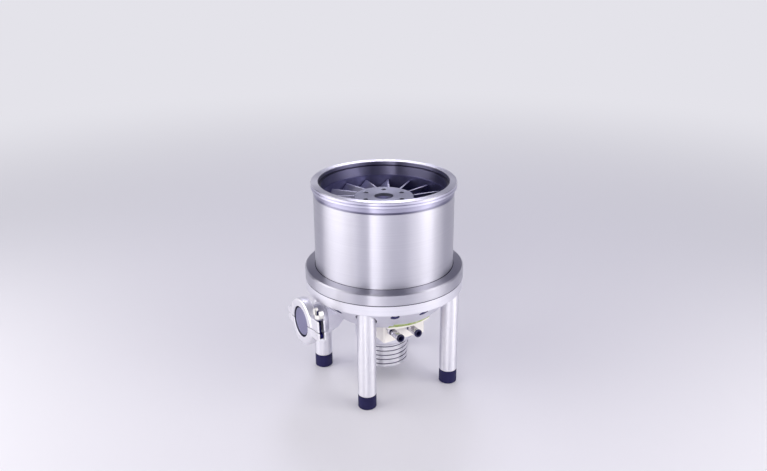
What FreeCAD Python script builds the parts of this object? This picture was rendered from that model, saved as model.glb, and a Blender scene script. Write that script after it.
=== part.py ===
import FreeCAD, Part
import math
import os
import sys

import Sketcher
from FreeCAD import Placement, Rotation, Vector

# Turbomolecular pump with a DN 250 claw-flange inlet, standing on four legs.
# The origin is the centre of the inlet flange's sealing face and +Z points out of the inlet.
# The foreline port points along -X and the cooling water fittings along -Y.

doc = FreeCAD.newDocument("turbomolecular_pump")
sheet = doc.addObject("Spreadsheet::Sheet", "sizes")
sub_parts = []
row = 0


class Size:
    """A measure with its number and the sheet formula that gives it."""

    def __init__(self, number, formula=None):
        self.number = float(number)
        self.formula = formula or f"({self.number!r})"

    def join(self, sign, other, number):
        return Size(number, f"({self.formula} {sign} {other.formula})")

    def __add__(self, other):
        other = measure(other)
        return self.join("+", other, self.number + other.number)

    def __sub__(self, other):
        other = measure(other)
        return self.join("-", other, self.number - other.number)

    def __mul__(self, other):
        other = measure(other)
        return self.join("*", other, self.number * other.number)

    def __truediv__(self, other):
        other = measure(other)
        return self.join("/", other, self.number / other.number)

    def __radd__(self, other):
        return measure(other) + self

    def __rsub__(self, other):
        return measure(other) - self

    def __rmul__(self, other):
        return measure(other) * self

    def __neg__(self):
        return measure(0) - self


def measure(value):
    return value if isinstance(value, Size) else Size(value)


def size(name, number):
    """One driving dimension: its name and its number in a row of the sheet."""
    global row
    row += 1
    sheet.set(f"A{row}", name)
    sheet.set(f"B{row}", repr(number))
    sheet.setAlias(f"B{row}", name)
    return Size(number, f"sizes.{name}")


def cosine(angle):
    angle = measure(angle)
    return Size(math.cos(math.radians(angle.number)), f"cos({angle.formula})")


def sine(angle):
    angle = measure(angle)
    return Size(math.sin(math.radians(angle.number)), f"sin({angle.formula})")


def tangent(angle):
    angle = measure(angle)
    return Size(math.tan(math.radians(angle.number)), f"tan({angle.formula})")


def bind(thing, prop, value):
    value = measure(value)
    setattr(thing, prop, value.number)
    thing.setExpression(prop, value.formula)


def put(thing, at=(0, 0, 0), turn=None, tilt=None):
    """Places a thing, with its position, and an angle of tilt about X, held by the sheet."""
    x, y, z = (measure(value) for value in at)
    rotation = turn or Rotation()
    if tilt is not None:
        rotation = Rotation(Vector(1, 0, 0), measure(tilt).number)
    thing.Placement = Placement(Vector(x.number, y.number, z.number), rotation)
    for axis, value in zip("xyz", (x, y, z)):
        thing.setExpression(f"Placement.Base.{axis}", value.formula)
    if tilt is not None:
        thing.setExpression("Placement.Rotation.Angle", measure(tilt).formula)
    return thing


ALONG_X = Rotation(Vector(0, 1, 0), 90)
ALONG_MINUS_X = Rotation(Vector(0, 1, 0), -90)
ALONG_MINUS_Y = Rotation(Vector(1, 0, 0), 90)
ALONG_PLUS_Y = Rotation(Vector(1, 0, 0), -90)


def cylinder(radius, height, at=(0, 0, 0), turn=None):
    thing = doc.addObject("Part::Cylinder", "Cylinder")
    bind(thing, "Radius", radius)
    bind(thing, "Height", height)
    return put(thing, at, turn)


def box(low, high):
    """A box from its lowest to its highest corner."""
    thing = doc.addObject("Part::Box", "Box")
    for prop, a, b in zip(("Length", "Width", "Height"), low, high):
        bind(thing, prop, measure(b) - measure(a))
    return put(thing, low)


def hexagon(across, height, at=(0, 0, 0), turn=None):
    """A hexagonal prism given by its width across the flats."""
    thing = doc.addObject("Part::Prism", "Prism")
    thing.Polygon = 6
    bind(thing, "Circumradius", measure(across) / (2 * cosine(30)))
    bind(thing, "Height", height)
    return put(thing, at, turn)


def union(things):
    thing = doc.addObject("Part::MultiFuse", "Fusion")
    thing.Shapes = things
    return thing


def join(first, second):
    thing = doc.addObject("Part::Fuse", "Fuse")
    thing.Base, thing.Tool = first, second
    return thing


def overlap(first, second):
    thing = doc.addObject("Part::Common", "Common")
    thing.Base, thing.Tool = first, second
    return thing


def group(things):
    """Separate solids kept together as one node."""
    thing = doc.addObject("Part::Compound", "Compound")
    thing.Links = things
    return thing


def cut(base, tools):
    thing = doc.addObject("Part::Cut", "Cut")
    thing.Base = base
    thing.Tool = tools[0] if len(tools) == 1 else union(tools)
    return thing


def sketch_outline(body, plane, corners):
    """A closed outline of straight edges whose corners are each held by two measures."""
    sketch = body.newObject("Sketcher::SketchObject", "Sketch")
    face = [item for item in body.Origin.OriginFeatures if item.Role == plane][0]
    sketch.AttachmentSupport = [(face, "")]
    sketch.MapMode = "FlatFace"
    corners = [(measure(a), measure(b)) for a, b in corners]
    points = [Vector(a.number, b.number, 0) for a, b in corners]
    count = len(points)
    for i in range(count):
        sketch.addGeometry(Part.LineSegment(points[i], points[(i + 1) % count]))
    for i in range(count):
        sketch.addConstraint(Sketcher.Constraint("Coincident", i, 2, (i + 1) % count, 1))
    for i, corner in enumerate(corners):
        for kind, axis, value in zip(("DistanceX", "DistanceY"), (-2, -1), corner):
            if value.number == 0:
                sketch.addConstraint(Sketcher.Constraint("PointOnObject", i, 1, axis))
                continue
            number = sketch.addConstraint(
                Sketcher.Constraint(kind, -1, 1, i, 1, value.number))
            sketch.setExpression(f"Constraints[{number}]", value.formula)
    return sketch


def turned(corners, at=(0, 0, 0), turn=None):
    """A piece turned on a lathe: its half section, as radius and height, swept about Z."""
    body = doc.addObject("PartDesign::Body", "Body")
    sketch = sketch_outline(body, "XZ_Plane", corners)
    sweep = body.newObject("PartDesign::Revolution", "Revolution")
    sweep.Profile = sketch
    sweep.ReferenceAxis = (sketch, ["V_Axis"])
    sweep.Angle = 360
    put(body, at, turn)
    return body


def padded(plane, corners, length, at=(0, 0, 0), both_ways=False):
    """A plate or bar of even section, made by pushing its outline out of a plane."""
    body = doc.addObject("PartDesign::Body", "Body")
    pad = body.newObject("PartDesign::Pad", "Pad")
    pad.Profile = sketch_outline(body, plane, corners)
    bind(pad, "Length", length)
    pad.Midplane = both_ways
    put(body, at)
    return body


def rounded(body, radius, level, fillet):
    """Rounds the circular edge of a turned piece that has this radius and level."""
    doc.recompute()
    feature = body.Tip
    names = []
    for number, edge in enumerate(feature.Shape.Edges, 1):
        curve = edge.Curve
        if isinstance(curve, Part.Circle) and abs(curve.Radius - radius.number) < 0.01:
            if abs(curve.Center.z - level.number) < 0.01:
                names.append(f"Edge{number}")
    rounding = body.newObject("PartDesign::Fillet", "Fillet")
    rounding.Base = (feature, names)
    bind(rounding, "Radius", fillet)
    return body


def spots(circle, angles, level):
    """Places on a circle about the pump's axis."""
    return [(circle * cosine(angle), circle * sine(angle), level) for angle in angles]


def cap_screw(thread, length, head, head_height, at, turn=None):
    """A socket head screw: its head hangs below the seat and its shank goes up from it."""
    socket = head * socket_share
    socket_end = head_height * socket_depth_share - head_height
    return turned([
        (0, socket_end), (socket, socket_end), (socket, -head_height),
        (head, -head_height), (head, 0), (thread, 0), (thread, length), (0, length),
    ], at, turn)


def name(thing, label):
    """Gives a finished sub-part the name of its node."""
    thing.Label = label
    sub_parts.append(thing)
    return thing


# Levels: everything is stacked down from the inlet flange's sealing face at zero.
total_height = size("total_height", 435.2)
casing_height = size("casing_height", 200.3)
band_height = size("band_height", 20.7)
cone_height = size("cone_height", 50.8)
hub_height = size("hub_height", 69.1)
sump_height = size("sump_height", 56.0)
parting = -casing_height
band_bottom = parting - band_height
cone_bottom = band_bottom - cone_height
hub_bottom = cone_bottom - hub_height
sump_bottom = hub_bottom - sump_height
floor_level = -total_height
slip = size("slip", 0.2)
cut_over = size("cut_over", 1.0)

# Sockets of the cap screws, as shares of the head's radius and height.
socket_share = size("socket_share", 0.45)
socket_depth_share = size("socket_depth_share", 0.5)

# Inlet casing: one turned tube with the inlet flange, the claw groove under it
# and the wide bolting flange at the bottom.
inlet_bore = size("inlet_bore", 130.5)
flange_radius = size("flange_radius", 145.0)
flange_thickness = size("flange_thickness", 12.0)
edge_break = size("edge_break", 1.0)
line_groove = size("line_groove", 0.9)
neck_radius = size("neck_radius", 137.5)
neck_height = size("neck_height", 10.0)
body_radius = size("body_radius", 140.7)
seat_depth = size("seat_depth", 8.0)
casing_bore = size("casing_bore", 125.0)
lower_flange_radius = size("lower_flange_radius", 162.0)
lower_flange_height = size("lower_flange_height", 25.4)
lower_flange_slope = size("lower_flange_slope", 1.5)
relief_width = size("relief_width", 1.2)
corner_break = size("corner_break", 2.5)
part_line_break = size("part_line_break", 0.8)

shoulder = parting + lower_flange_height
half_flange = flange_thickness / 2
neck_bottom = -(flange_thickness + neck_height)
casing_body = turned([
    (inlet_bore, 0), (flange_radius - edge_break, 0), (flange_radius, -edge_break),
    (flange_radius, line_groove - half_flange), (flange_radius - line_groove, -half_flange),
    (flange_radius, -line_groove - half_flange),
    (flange_radius, edge_break - flange_thickness),
    (flange_radius - edge_break, -flange_thickness),
    (neck_radius, -flange_thickness), (neck_radius, neck_bottom),
    (body_radius, neck_bottom - (body_radius - neck_radius)),
    (body_radius, shoulder - relief_width),
    (body_radius + relief_width, shoulder - relief_width),
    (body_radius + relief_width, shoulder),
    (lower_flange_radius - corner_break, shoulder - lower_flange_slope),
    (lower_flange_radius, shoulder - lower_flange_slope - corner_break),
    (lower_flange_radius, parting + part_line_break),
    (lower_flange_radius - part_line_break, parting),
    (casing_bore, parting), (casing_bore, -seat_depth), (inlet_bore, -seat_depth),
])

# Casing screws: M8 socket head screws that hold the casing from below, one every
# 22.5 degrees where no leg, foreline boss or connector stands.
screw_inset = size("screw_inset", 11.0)
screw_circle = lower_flange_radius - screw_inset
screw_seat = size("screw_seat", 16.6)
screw_thread = size("screw_thread", 4.0)
screw_head = size("screw_head", 6.5)
screw_head_height = size("screw_head_height", 8.0)
screw_length = size("screw_length", 32.0)
screw_pocket = size("screw_pocket", 9.0)
leg_angles = (45, 135, 225, 315)
boss_angle = 180
connector_angle = 90
screw_places = 16
screw_angles = [step * 360 / screw_places for step in range(screw_places)]
screw_angles = [angle for angle in screw_angles
                if angle not in leg_angles + (boss_angle, connector_angle)]
screw_spots = spots(screw_circle, screw_angles, parting - screw_seat)
name(cut(casing_body, [cylinder(screw_thread, screw_length, spot) for spot in screw_spots]),
     "inlet_casing")
name(group([cap_screw(screw_thread, screw_length, screw_head, screw_head_height, spot)
            for spot in screw_spots]), "casing_screws")

# Casing seal: a fluoroelastomer ring in a groove of the base, pressed flat by the casing.
seal_radius = size("seal_radius", 132.0)
seal_width = size("seal_width", 4.2)
seal_depth = size("seal_depth", 3.9)
name(turned([
    (seal_radius, parting), (seal_radius + seal_width, parting),
    (seal_radius + seal_width, parting - seal_depth), (seal_radius, parting - seal_depth),
]), "casing_seal")

# Legs and feet: four plain posts screwed up into spot-faced pockets of the base cone,
# each on a rubber foot of the same width.
leg_inset = size("leg_inset", 23.8)
leg_circle = lower_flange_radius - leg_inset
leg_radius = size("leg_radius", 18.5)
leg_seat = size("leg_seat", 23.6)
leg_pocket = size("leg_pocket", 20.6)
foot_height = size("foot_height", 28.5)
stud_radius = size("stud_radius", 6.0)
stud_reach = size("stud_reach", 13.0)
leg_break = size("leg_break", 1.5)
foot_stud_radius = size("foot_stud_radius", 5.0)
foot_stud_reach = size("foot_stud_reach", 16.0)
foot_stud_root = size("foot_stud_root", 12.0)
leg_top = parting - leg_seat
foot_top = floor_level + foot_height
leg_names = ("rear", "left", "front", "right")
for leg_name, spot in zip(leg_names, spots(leg_circle, leg_angles, foot_top)):
    leg_length = leg_top - foot_top
    name(turned([
        (foot_stud_radius, 0), (leg_radius - leg_break, 0), (leg_radius, leg_break),
        (leg_radius, leg_length), (stud_radius, leg_length),
        (stud_radius, leg_length - stud_reach), (0, leg_length - stud_reach),
        (0, foot_stud_reach), (foot_stud_radius, foot_stud_reach),
    ], spot), f"leg_{leg_name}")
    name(turned([
        (0, -foot_stud_root), (foot_stud_radius, -foot_stud_root), (foot_stud_radius, 0),
        (leg_radius, 0), (leg_radius, leg_break - foot_height),
        (leg_radius - leg_break, -foot_height), (0, -foot_height),
    ], spot), f"foot_{leg_name}")
stud_spots = spots(leg_circle, leg_angles, leg_top - stud_reach)
name(group([cylinder(stud_radius, 2 * stud_reach, spot) for spot in stud_spots]), "leg_studs")
foot_stud_spots = spots(leg_circle, leg_angles, foot_top - foot_stud_root)
name(group([cylinder(foot_stud_radius, foot_stud_root + foot_stud_reach, spot)
            for spot in foot_stud_spots]), "foot_studs")

# Foreline boss: an eight-sided block on the cone's flank with a sloped underside.
port_drop = size("port_drop", 263.6)
boss_inset = size("boss_inset", 16.0)
boss_reach = lower_flange_radius - boss_inset
boss_root = size("boss_root", 108.0)
boss_half_width = size("boss_half_width", 32.5)
boss_half_height = size("boss_half_height", 29.0)
boss_top_flat = size("boss_top_flat", 20.0)
boss_side_flat = size("boss_side_flat", 14.5)
boss_lip = size("boss_lip", 8.0)
boss_slope = size("boss_slope", 49.0)
port_level = -port_drop
boss_corners = []
for sign_y, sign_z in ((1, 1), (-1, 1), (-1, -1), (1, -1)):
    flat = (boss_top_flat * sign_y, boss_half_height * sign_z)
    side = (boss_half_width * sign_y, boss_side_flat * sign_z)
    boss_corners += [flat, side] if sign_y * sign_z < 0 else [side, flat]
boss_block = padded("YZ_Plane", boss_corners, boss_reach - boss_root,
                    (-boss_reach, 0, port_level))
wedge_size = size("wedge_size", 200.0)
boss_wedge = put(
    doc.addObject("Part::Box", "Box"),
    (boss_lip - boss_reach + wedge_size * sine(boss_slope),
     -wedge_size / 2, port_level - boss_half_height - wedge_size * cosine(boss_slope)),
    Rotation(Vector(0, -1, 0), boss_slope.number))
boss_wedge.setExpression("Placement.Rotation.Angle", boss_slope.formula)
for prop in ("Length", "Width", "Height"):
    bind(boss_wedge, prop, wedge_size)
boss = cut(boss_block, [boss_wedge])

# Base housing: a casting with a cylindrical band, the cone below it and the foreline boss.
cone_bottom_radius = size("cone_bottom_radius", 108.6)
band_step = size("band_step", 0.6)
band_radius = lower_flange_radius - band_step
cone_step = size("cone_step", 1.9)
cone_top_radius = band_radius - cone_step
stack_seat_radius = size("stack_seat_radius", 112.0)
cavity_drop = size("cavity_drop", 26.0)
cavity_floor = size("cavity_floor", 20.0)
cavity_floor_radius = size("cavity_floor_radius", 98.0)
plate_inset = size("plate_inset", 4.6)
plate_radius = cone_bottom_radius - plate_inset
plate_thickness = size("plate_thickness", 8.0)
plate_lap = size("plate_lap", 12.0)
plate_opening = plate_radius - plate_lap
base_body = turned([
    (stack_seat_radius, parting), (seal_radius, parting), (seal_radius, parting - seal_depth),
    (seal_radius + seal_width, parting - seal_depth), (seal_radius + seal_width, parting),
    (band_radius - part_line_break, parting), (band_radius, parting - part_line_break),
    (band_radius, band_bottom), (cone_top_radius, band_bottom),
    (cone_bottom_radius, cone_bottom), (plate_radius, cone_bottom),
    (plate_radius, cone_bottom + plate_thickness), (plate_opening, cone_bottom + plate_thickness),
    (plate_opening, cone_bottom + cavity_floor), (cavity_floor_radius, cone_bottom + cavity_floor),
    (stack_seat_radius, parting - cavity_drop),
])

# Cooling side: the block hangs under the base on -Y, on a soft thermal pad whose edge
# shows at the rim of the cone.
block_half_width = size("block_half_width", 48.5)
block_front = size("block_front", 81.0)
block_drop = size("block_drop", 43.3)
block_flange = size("block_flange", 5.0)
block_edge = size("block_edge", 3.0)
pad_thickness = size("pad_thickness", 5.0)
pad_stand = size("pad_stand", 1.4)
pad_radius = cone_bottom_radius + pad_stand
block_flange_inset = size("block_flange_inset", 0.6)
block_flange_radius = cone_bottom_radius - block_flange_inset
hub_radius = size("hub_radius", 62.0)
hub_gap = size("hub_gap", 0.3)
pad_inset = size("pad_inset", 12.0)
pad_back = hub_radius - pad_inset
pad_box = ((-block_half_width, -cone_top_radius, cone_bottom),
           (block_half_width, -pad_back, cone_bottom + pad_thickness))
pad_slab = overlap(box(*pad_box), cylinder(pad_radius, pad_thickness, (0, 0, cone_bottom)))
cooling_screw_x = size("cooling_screw_x", 43.5)
cooling_screw_y = size("cooling_screw_y", 90.0)
cooling_thread = size("cooling_thread", 2.5)
cooling_length = size("cooling_length", 24.0)
cooling_spots = [(cooling_screw_x * side, -cooling_screw_y, cone_bottom - block_flange)
                 for side in (-1, 1)]


def cooling_holes():
    return [cylinder(cooling_thread, cooling_length, spot) for spot in cooling_spots]


pad_ring_cut = cylinder(hub_radius + hub_gap, pad_thickness, (0, 0, cone_bottom))
name(cut(pad_slab, [pad_ring_cut] + cooling_holes()), "thermal_pad")

# Bottom plate screws: M6 heads that hang under the plate, one every 30 degrees away
# from the cooling block.
plate_screw_inset = size("plate_screw_inset", 5.7)
plate_screw_circle = plate_radius - plate_screw_inset
plate_thread = size("plate_thread", 3.0)
plate_head = size("plate_head", 5.0)
plate_head_height = size("plate_head_height", 6.0)
plate_screw_length = size("plate_screw_length", 18.0)
plate_screw_angles = [angle for angle in range(0, 360, 30) if angle not in (240, 270, 300)]
plate_spots = spots(plate_screw_circle, plate_screw_angles, cone_bottom)


def plate_holes():
    return [cylinder(plate_thread, plate_screw_length, spot) for spot in plate_spots]


name(group([cap_screw(plate_thread, plate_screw_length, plate_head, plate_head_height, spot)
            for spot in plate_spots]), "plate_screws")

# Holes of the base: screw and leg pockets, the pad recess and the foreline passage,
# which goes in level and then turns up into the base's cavity.
pocket_depth = cone_height
leg_spots = spots(leg_circle, leg_angles, leg_top - pocket_depth)
pocket_spots = spots(screw_circle, screw_angles, parting - screw_seat - pocket_depth)
port_radius = size("port_radius", 26.5)
port_socket = size("port_socket", 8.0)
passage_radius = size("passage_radius", 14.0)
passage_wall = size("passage_wall", 5.0)
passage_length = size("passage_length", 56.0)
passage_start = size("passage_start", 12.0)
passage_offset = passage_radius + passage_wall
passage = cylinder(
    passage_radius, passage_length,
    (boss_lip - boss_reach - passage_offset * sine(boss_slope)
     + passage_start * cosine(boss_slope), 0,
     port_level - boss_half_height + passage_offset * cosine(boss_slope)
     + passage_start * sine(boss_slope)),
    Rotation(Vector(0, 1, 0), 90 - boss_slope.number))
connector_level = size("connector_level", 244.0)
connector_bore = size("connector_bore", 11.0)
connector_inset = size("connector_inset", 23.4)
connector_seat = band_radius - connector_inset
connector_root = size("connector_root", 96.0)
connector_pad = size("connector_pad", 20.0)
connector_flange = size("connector_flange", 19.0)
connector_clear = size("connector_clear", 2.0)
connector_drop = size("connector_drop", 4.0)
room_half = connector_flange + connector_clear
connector_room = box((-room_half, connector_seat, -connector_level - room_half - connector_drop),
                     (room_half, lower_flange_radius, -connector_level + room_half))
connector_flange_thickness = size("connector_flange_thickness", 3.0)
connector_screw_place = size("connector_screw_place", 15.2)
connector_thread = size("connector_thread", 1.5)
connector_screw_length = size("connector_screw_length", 8.0)
connector_screw_spots = [
    (connector_screw_place * side_x, connector_seat + connector_flange_thickness,
     -connector_level + connector_screw_place * side_z)
    for side_x in (-1, 1) for side_z in (-1, 1)]
connector_hole_spots = [
    (x, y - connector_screw_length, z) for x, y, z in connector_screw_spots]
base_tools = (
    [cylinder(leg_pocket, pocket_depth, spot) for spot in leg_spots]
    + [cylinder(stud_radius, stud_reach, (x, y, leg_top))
       for x, y, z in leg_spots]
    + [cylinder(screw_pocket, pocket_depth, spot) for spot in pocket_spots]
    + [cylinder(screw_thread, screw_seat, spot) for spot in screw_spots]
    + plate_holes() + cooling_holes()
    + [box(*pad_box), passage, connector_room,
       cylinder(port_radius, port_socket, (-boss_reach, 0, port_level), ALONG_X),
       cylinder(connector_bore, connector_seat - connector_root + cut_over,
                (0, connector_root, -connector_level), ALONG_PLUS_Y)]
    + [cylinder(connector_thread, connector_screw_length, spot, ALONG_PLUS_Y)
       for spot in connector_hole_spots])
connector_block = box(
    (-connector_pad, stack_seat_radius, -connector_level - connector_pad),
    (connector_pad, connector_seat, -connector_level + connector_pad))
name(cut(union([base_body, boss, connector_block]), base_tools), "base_housing")

# Power connector: a round metal receptacle on a square flange at the back of the base.
connector_shell = size("connector_shell", 14.0)
connector_shell_wall = size("connector_shell_wall", 1.6)
connector_reach = size("connector_reach", 20.0)
connector_spigot = size("connector_spigot", 12.0)
connector_insert = size("connector_insert", 8.0)
connector_centre = (0, connector_seat, -connector_level)
connector_plate = box(
    (-connector_flange, connector_seat, -connector_level - connector_flange),
    (connector_flange, connector_seat + connector_flange_thickness,
     -connector_level + connector_flange))
connector_turned = turned([
    (0, -connector_spigot), (connector_bore, -connector_spigot), (connector_bore, 0),
    (connector_shell, 0), (connector_shell, connector_reach),
    (connector_shell - connector_shell_wall, connector_reach),
    (connector_shell - connector_shell_wall, connector_insert), (0, connector_insert),
], connector_centre, ALONG_PLUS_Y)
name(cut(union([connector_plate, connector_turned]),
         [cylinder(connector_thread, connector_screw_length, spot, ALONG_PLUS_Y)
          for spot in connector_hole_spots]), "power_connector")
connector_screw_head = size("connector_screw_head", 2.75)
connector_screw_head_height = size("connector_screw_head_height", 3.0)
name(group([cap_screw(connector_thread, connector_screw_length, connector_screw_head,
                      connector_screw_head_height, spot, ALONG_MINUS_Y)
            for spot in connector_screw_spots]), "connector_screws")
contact_radius = size("contact_radius", 1.1)
contact_length = size("contact_length", 7.0)
contact_circle = size("contact_circle", 7.0)
contact_count = 6
contact_spots = [(0, connector_seat + connector_insert, -connector_level)]
for number in range(contact_count):
    angle = number * 360 / contact_count
    contact_spots.append((contact_circle * cosine(angle), connector_seat + connector_insert,
                          contact_circle * sine(angle) - connector_level))
name(group([cylinder(contact_radius, contact_length, spot, ALONG_PLUS_Y)
            for spot in contact_spots]), "connector_contacts")

# Motor housing: the bottom plate, the round hub under it and the tube that stands up
# inside the rotor and carries the upper bearing.
hub_rounding = size("hub_rounding", 8.0)
tube_radius = size("tube_radius", 45.0)
tube_top = size("tube_top", 104.0)
bearing_outer = size("bearing_outer", 23.5)
bearing_height = size("bearing_height", 14.0)
bearing_floor = size("bearing_floor", 4.0)
motor_bore = size("motor_bore", 38.0)
upper_bearing = size("upper_bearing", 124.0)
shaft_hole = size("shaft_hole", 14.0)
carrier_radius = size("carrier_radius", 39.5)
carrier_flange = size("carrier_flange", 8.0)
motor_body = turned([
    (bearing_outer, -tube_top), (tube_radius, -tube_top), (tube_radius, cone_bottom + plate_thickness),
    (plate_radius, cone_bottom + plate_thickness), (plate_radius, cone_bottom),
    (hub_radius, cone_bottom), (hub_radius, hub_bottom), (carrier_radius, hub_bottom),
    (carrier_radius, hub_bottom + carrier_flange), (motor_bore, hub_bottom + carrier_flange),
    (motor_bore, -upper_bearing - bearing_floor), (shaft_hole, -upper_bearing - bearing_floor),
    (shaft_hole, -upper_bearing), (bearing_outer, -upper_bearing),
])
rounded(motor_body, hub_radius, hub_bottom, hub_rounding)

# Sump cover: a turned cup with cooling grooves round it, on the hub's underside.
sump_radius = size("sump_radius", 48.5)
sump_bore = size("sump_bore", 37.0)
sump_floor = size("sump_floor", 7.0)
sump_edge = size("sump_edge", 1.5)
groove_count = 5
groove_pitch = size("groove_pitch", 10.0)
groove_first = size("groove_first", 7.0)
groove_width = size("groove_width", 2.4)
groove_depth = size("groove_depth", 2.2)
cover_thread = size("cover_thread", 2.0)
cover_head = size("cover_head", 3.5)
cover_head_height = size("cover_head_height", 4.0)
cover_circle = size("cover_circle", 42.0)
cover_screw_length = size("cover_screw_length", 64.0)
sump_corners = [(0, sump_bottom + sump_floor), (0, sump_bottom),
                (sump_radius - sump_edge, sump_bottom), (sump_radius, sump_bottom + sump_edge)]
for groove in range(groove_count):
    low = sump_bottom + groove_first + groove_pitch * groove
    sump_corners += [
        (sump_radius, low), (sump_radius - groove_depth, low),
        (sump_radius - groove_depth, low + groove_width), (sump_radius, low + groove_width)]
sump_corners += [(sump_radius, hub_bottom), (sump_bore, hub_bottom),
                 (sump_bore, sump_bottom + sump_floor)]
cover_angles = (45, 135, 225, 315)
cover_spots = spots(cover_circle, cover_angles, sump_bottom + cover_head_height)
cover_pockets = spots(cover_circle, cover_angles, sump_bottom)


def cover_holes():
    return [cylinder(cover_thread, cover_screw_length, spot) for spot in cover_spots]


name(cut(turned(sump_corners),
         cover_holes() + [cylinder(cover_head + slip, cover_head_height, spot)
                          for spot in cover_pockets]), "sump_cover")
name(group([cap_screw(cover_thread, cover_screw_length, cover_head, cover_head_height, spot)
            for spot in cover_spots]), "sump_screws")
name(cut(motor_body, [box(*pad_box)] + plate_holes() + cooling_holes() + cover_holes()),
     "motor_housing")

# Lower bearing carrier: a plug in the motor housing that the sump cover clamps.
lower_bearing = size("lower_bearing", 300.0)
name(turned([
    (shaft_hole, hub_bottom), (carrier_radius, hub_bottom),
    (carrier_radius, hub_bottom + carrier_flange), (motor_bore, hub_bottom + carrier_flange),
    (motor_bore, bearing_height - lower_bearing), (bearing_outer, bearing_height - lower_bearing),
    (bearing_outer, -lower_bearing), (shaft_hole, -lower_bearing),
]), "bearing_carrier")

# Cooling block: a painted aluminium block bolted under the thermal pad, with a thin
# flange that follows the rim of the cone.
block_top = cone_bottom - block_flange
block_flange_slab = overlap(
    box((-block_half_width, -cone_top_radius, block_top),
        (block_half_width, -pad_back, cone_bottom)),
    cylinder(block_flange_radius, block_flange, (0, 0, block_top)))
block_bar = padded("XY_Plane", [
    (-block_half_width, -pad_back), (-block_half_width, block_edge - block_front),
    (block_edge - block_half_width, -block_front), (block_half_width - block_edge, -block_front),
    (block_half_width, block_edge - block_front), (block_half_width, -pad_back),
], block_drop, (0, 0, cone_bottom - block_drop))
fitting_level = size("fitting_level", 288.6)
fitting_spacing = size("fitting_spacing", 41.0)
fitting_offset = size("fitting_offset", 14.0)
fitting_thread = size("fitting_thread", 6.0)
fitting_root = size("fitting_root", 10.0)
fitting_places = [-fitting_offset - fitting_spacing / 2, fitting_spacing / 2 - fitting_offset]
block_tools = [cylinder(hub_radius + hub_gap, block_drop, (0, 0, cone_bottom - block_drop))]
block_tools += [cylinder(fitting_thread, fitting_root, (x, -block_front, -fitting_level),
                         ALONG_PLUS_Y) for x in fitting_places]
block_tools += cooling_holes()
name(cut(union([block_flange_slab, block_bar]), block_tools), "cooling_block")
cooling_head = size("cooling_head", 4.25)
cooling_head_height = size("cooling_head_height", 4.2)
name(group([cap_screw(cooling_thread, cooling_length, cooling_head, cooling_head_height, spot)
            for spot in cooling_spots]), "cooling_screws")

# Hose fittings: nickel-plated push-in bodies with a hexagon at the root and a dark
# release collar that slides in to let go of the hose.
hex_across = size("hex_across", 15.0)
hex_height = size("hex_height", 8.0)
fitting_length = size("fitting_length", 37.0)
fitting_radius = size("fitting_radius", 7.4)
fitting_waist = size("fitting_waist", 6.4)
fitting_waist_length = size("fitting_waist_length", 6.0)
fitting_step = size("fitting_step", 1.0)
hose_bore = size("hose_bore", 5.05)
hose_stop = size("hose_stop", 14.0)
water_bore = size("water_bore", 3.5)
collar_bore = size("collar_bore", 6.35)
collar_sleeve = size("collar_sleeve", 6.27)
collar_sleeve_length = size("collar_sleeve_length", 9.0)
collar_seat = size("collar_seat", 12.0)
collar_gap = size("collar_gap", 2.0)
collar_head = size("collar_head", 7.8)
collar_head_length = size("collar_head_length", 4.2)
collar_edge = size("collar_edge", 0.8)
for side, x in zip(("left", "right"), fitting_places):
    root = (x, -block_front, -fitting_level)
    shank = turned([
        (water_bore, -fitting_root), (fitting_thread, -fitting_root), (fitting_thread, 0),
        (fitting_waist, 0), (fitting_waist, hex_height + fitting_waist_length),
        (fitting_radius, hex_height + fitting_waist_length + fitting_step),
        (fitting_radius, fitting_length), (collar_bore, fitting_length),
        (collar_bore, fitting_length - collar_seat), (hose_bore, fitting_length - collar_seat),
        (hose_bore, hose_stop), (water_bore, hose_stop),
    ], root, ALONG_MINUS_Y)
    nut = cut(hexagon(hex_across, hex_height, root, ALONG_MINUS_Y),
              [cylinder(water_bore, hex_height, root, ALONG_MINUS_Y)])
    name(union([shank, nut]), f"hose_fitting_{side}")
    end = (x, -block_front - fitting_length - collar_gap, -fitting_level)
    name(turned([
        (hose_bore, -collar_sleeve_length), (collar_sleeve, -collar_sleeve_length),
        (collar_sleeve, 0), (collar_head, 0), (collar_head, collar_head_length - collar_edge),
        (collar_head - collar_edge, collar_head_length),
        (hose_bore + collar_edge, collar_head_length),
        (hose_bore, collar_head_length - collar_edge),
    ], end, ALONG_MINUS_Y), f"release_collar_{side}")

# Foreline port: a DN 50 small flange on a short tube in the boss.
kf_radius = size("kf_radius", 37.5)
kf_rim = size("kf_rim", 3.0)
kf_taper = size("kf_taper", 15.0)
kf_bore = size("kf_bore", 24.5)
kf_recess = size("kf_recess", 26.1)
kf_recess_depth = size("kf_recess_depth", 2.8)
seal_gap = size("seal_gap", 3.9)
clamp_stand = size("clamp_stand", 37.0)
clamp_reach = boss_reach + clamp_stand
port_face = clamp_reach - seal_gap / 2
port_length = port_face - boss_reach + port_socket
taper_at_tube = (kf_radius - port_radius) * tangent(kf_taper)
name(turned([
    (kf_bore, 0), (port_radius, 0), (port_radius, port_length - kf_rim - taper_at_tube),
    (kf_radius, port_length - kf_rim), (kf_radius, port_length), (kf_recess, port_length),
    (kf_recess, port_length - kf_recess_depth), (kf_bore, port_length - kf_recess_depth),
], (port_socket - boss_reach, 0, port_level), ALONG_MINUS_X), "foreline_port")

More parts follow.
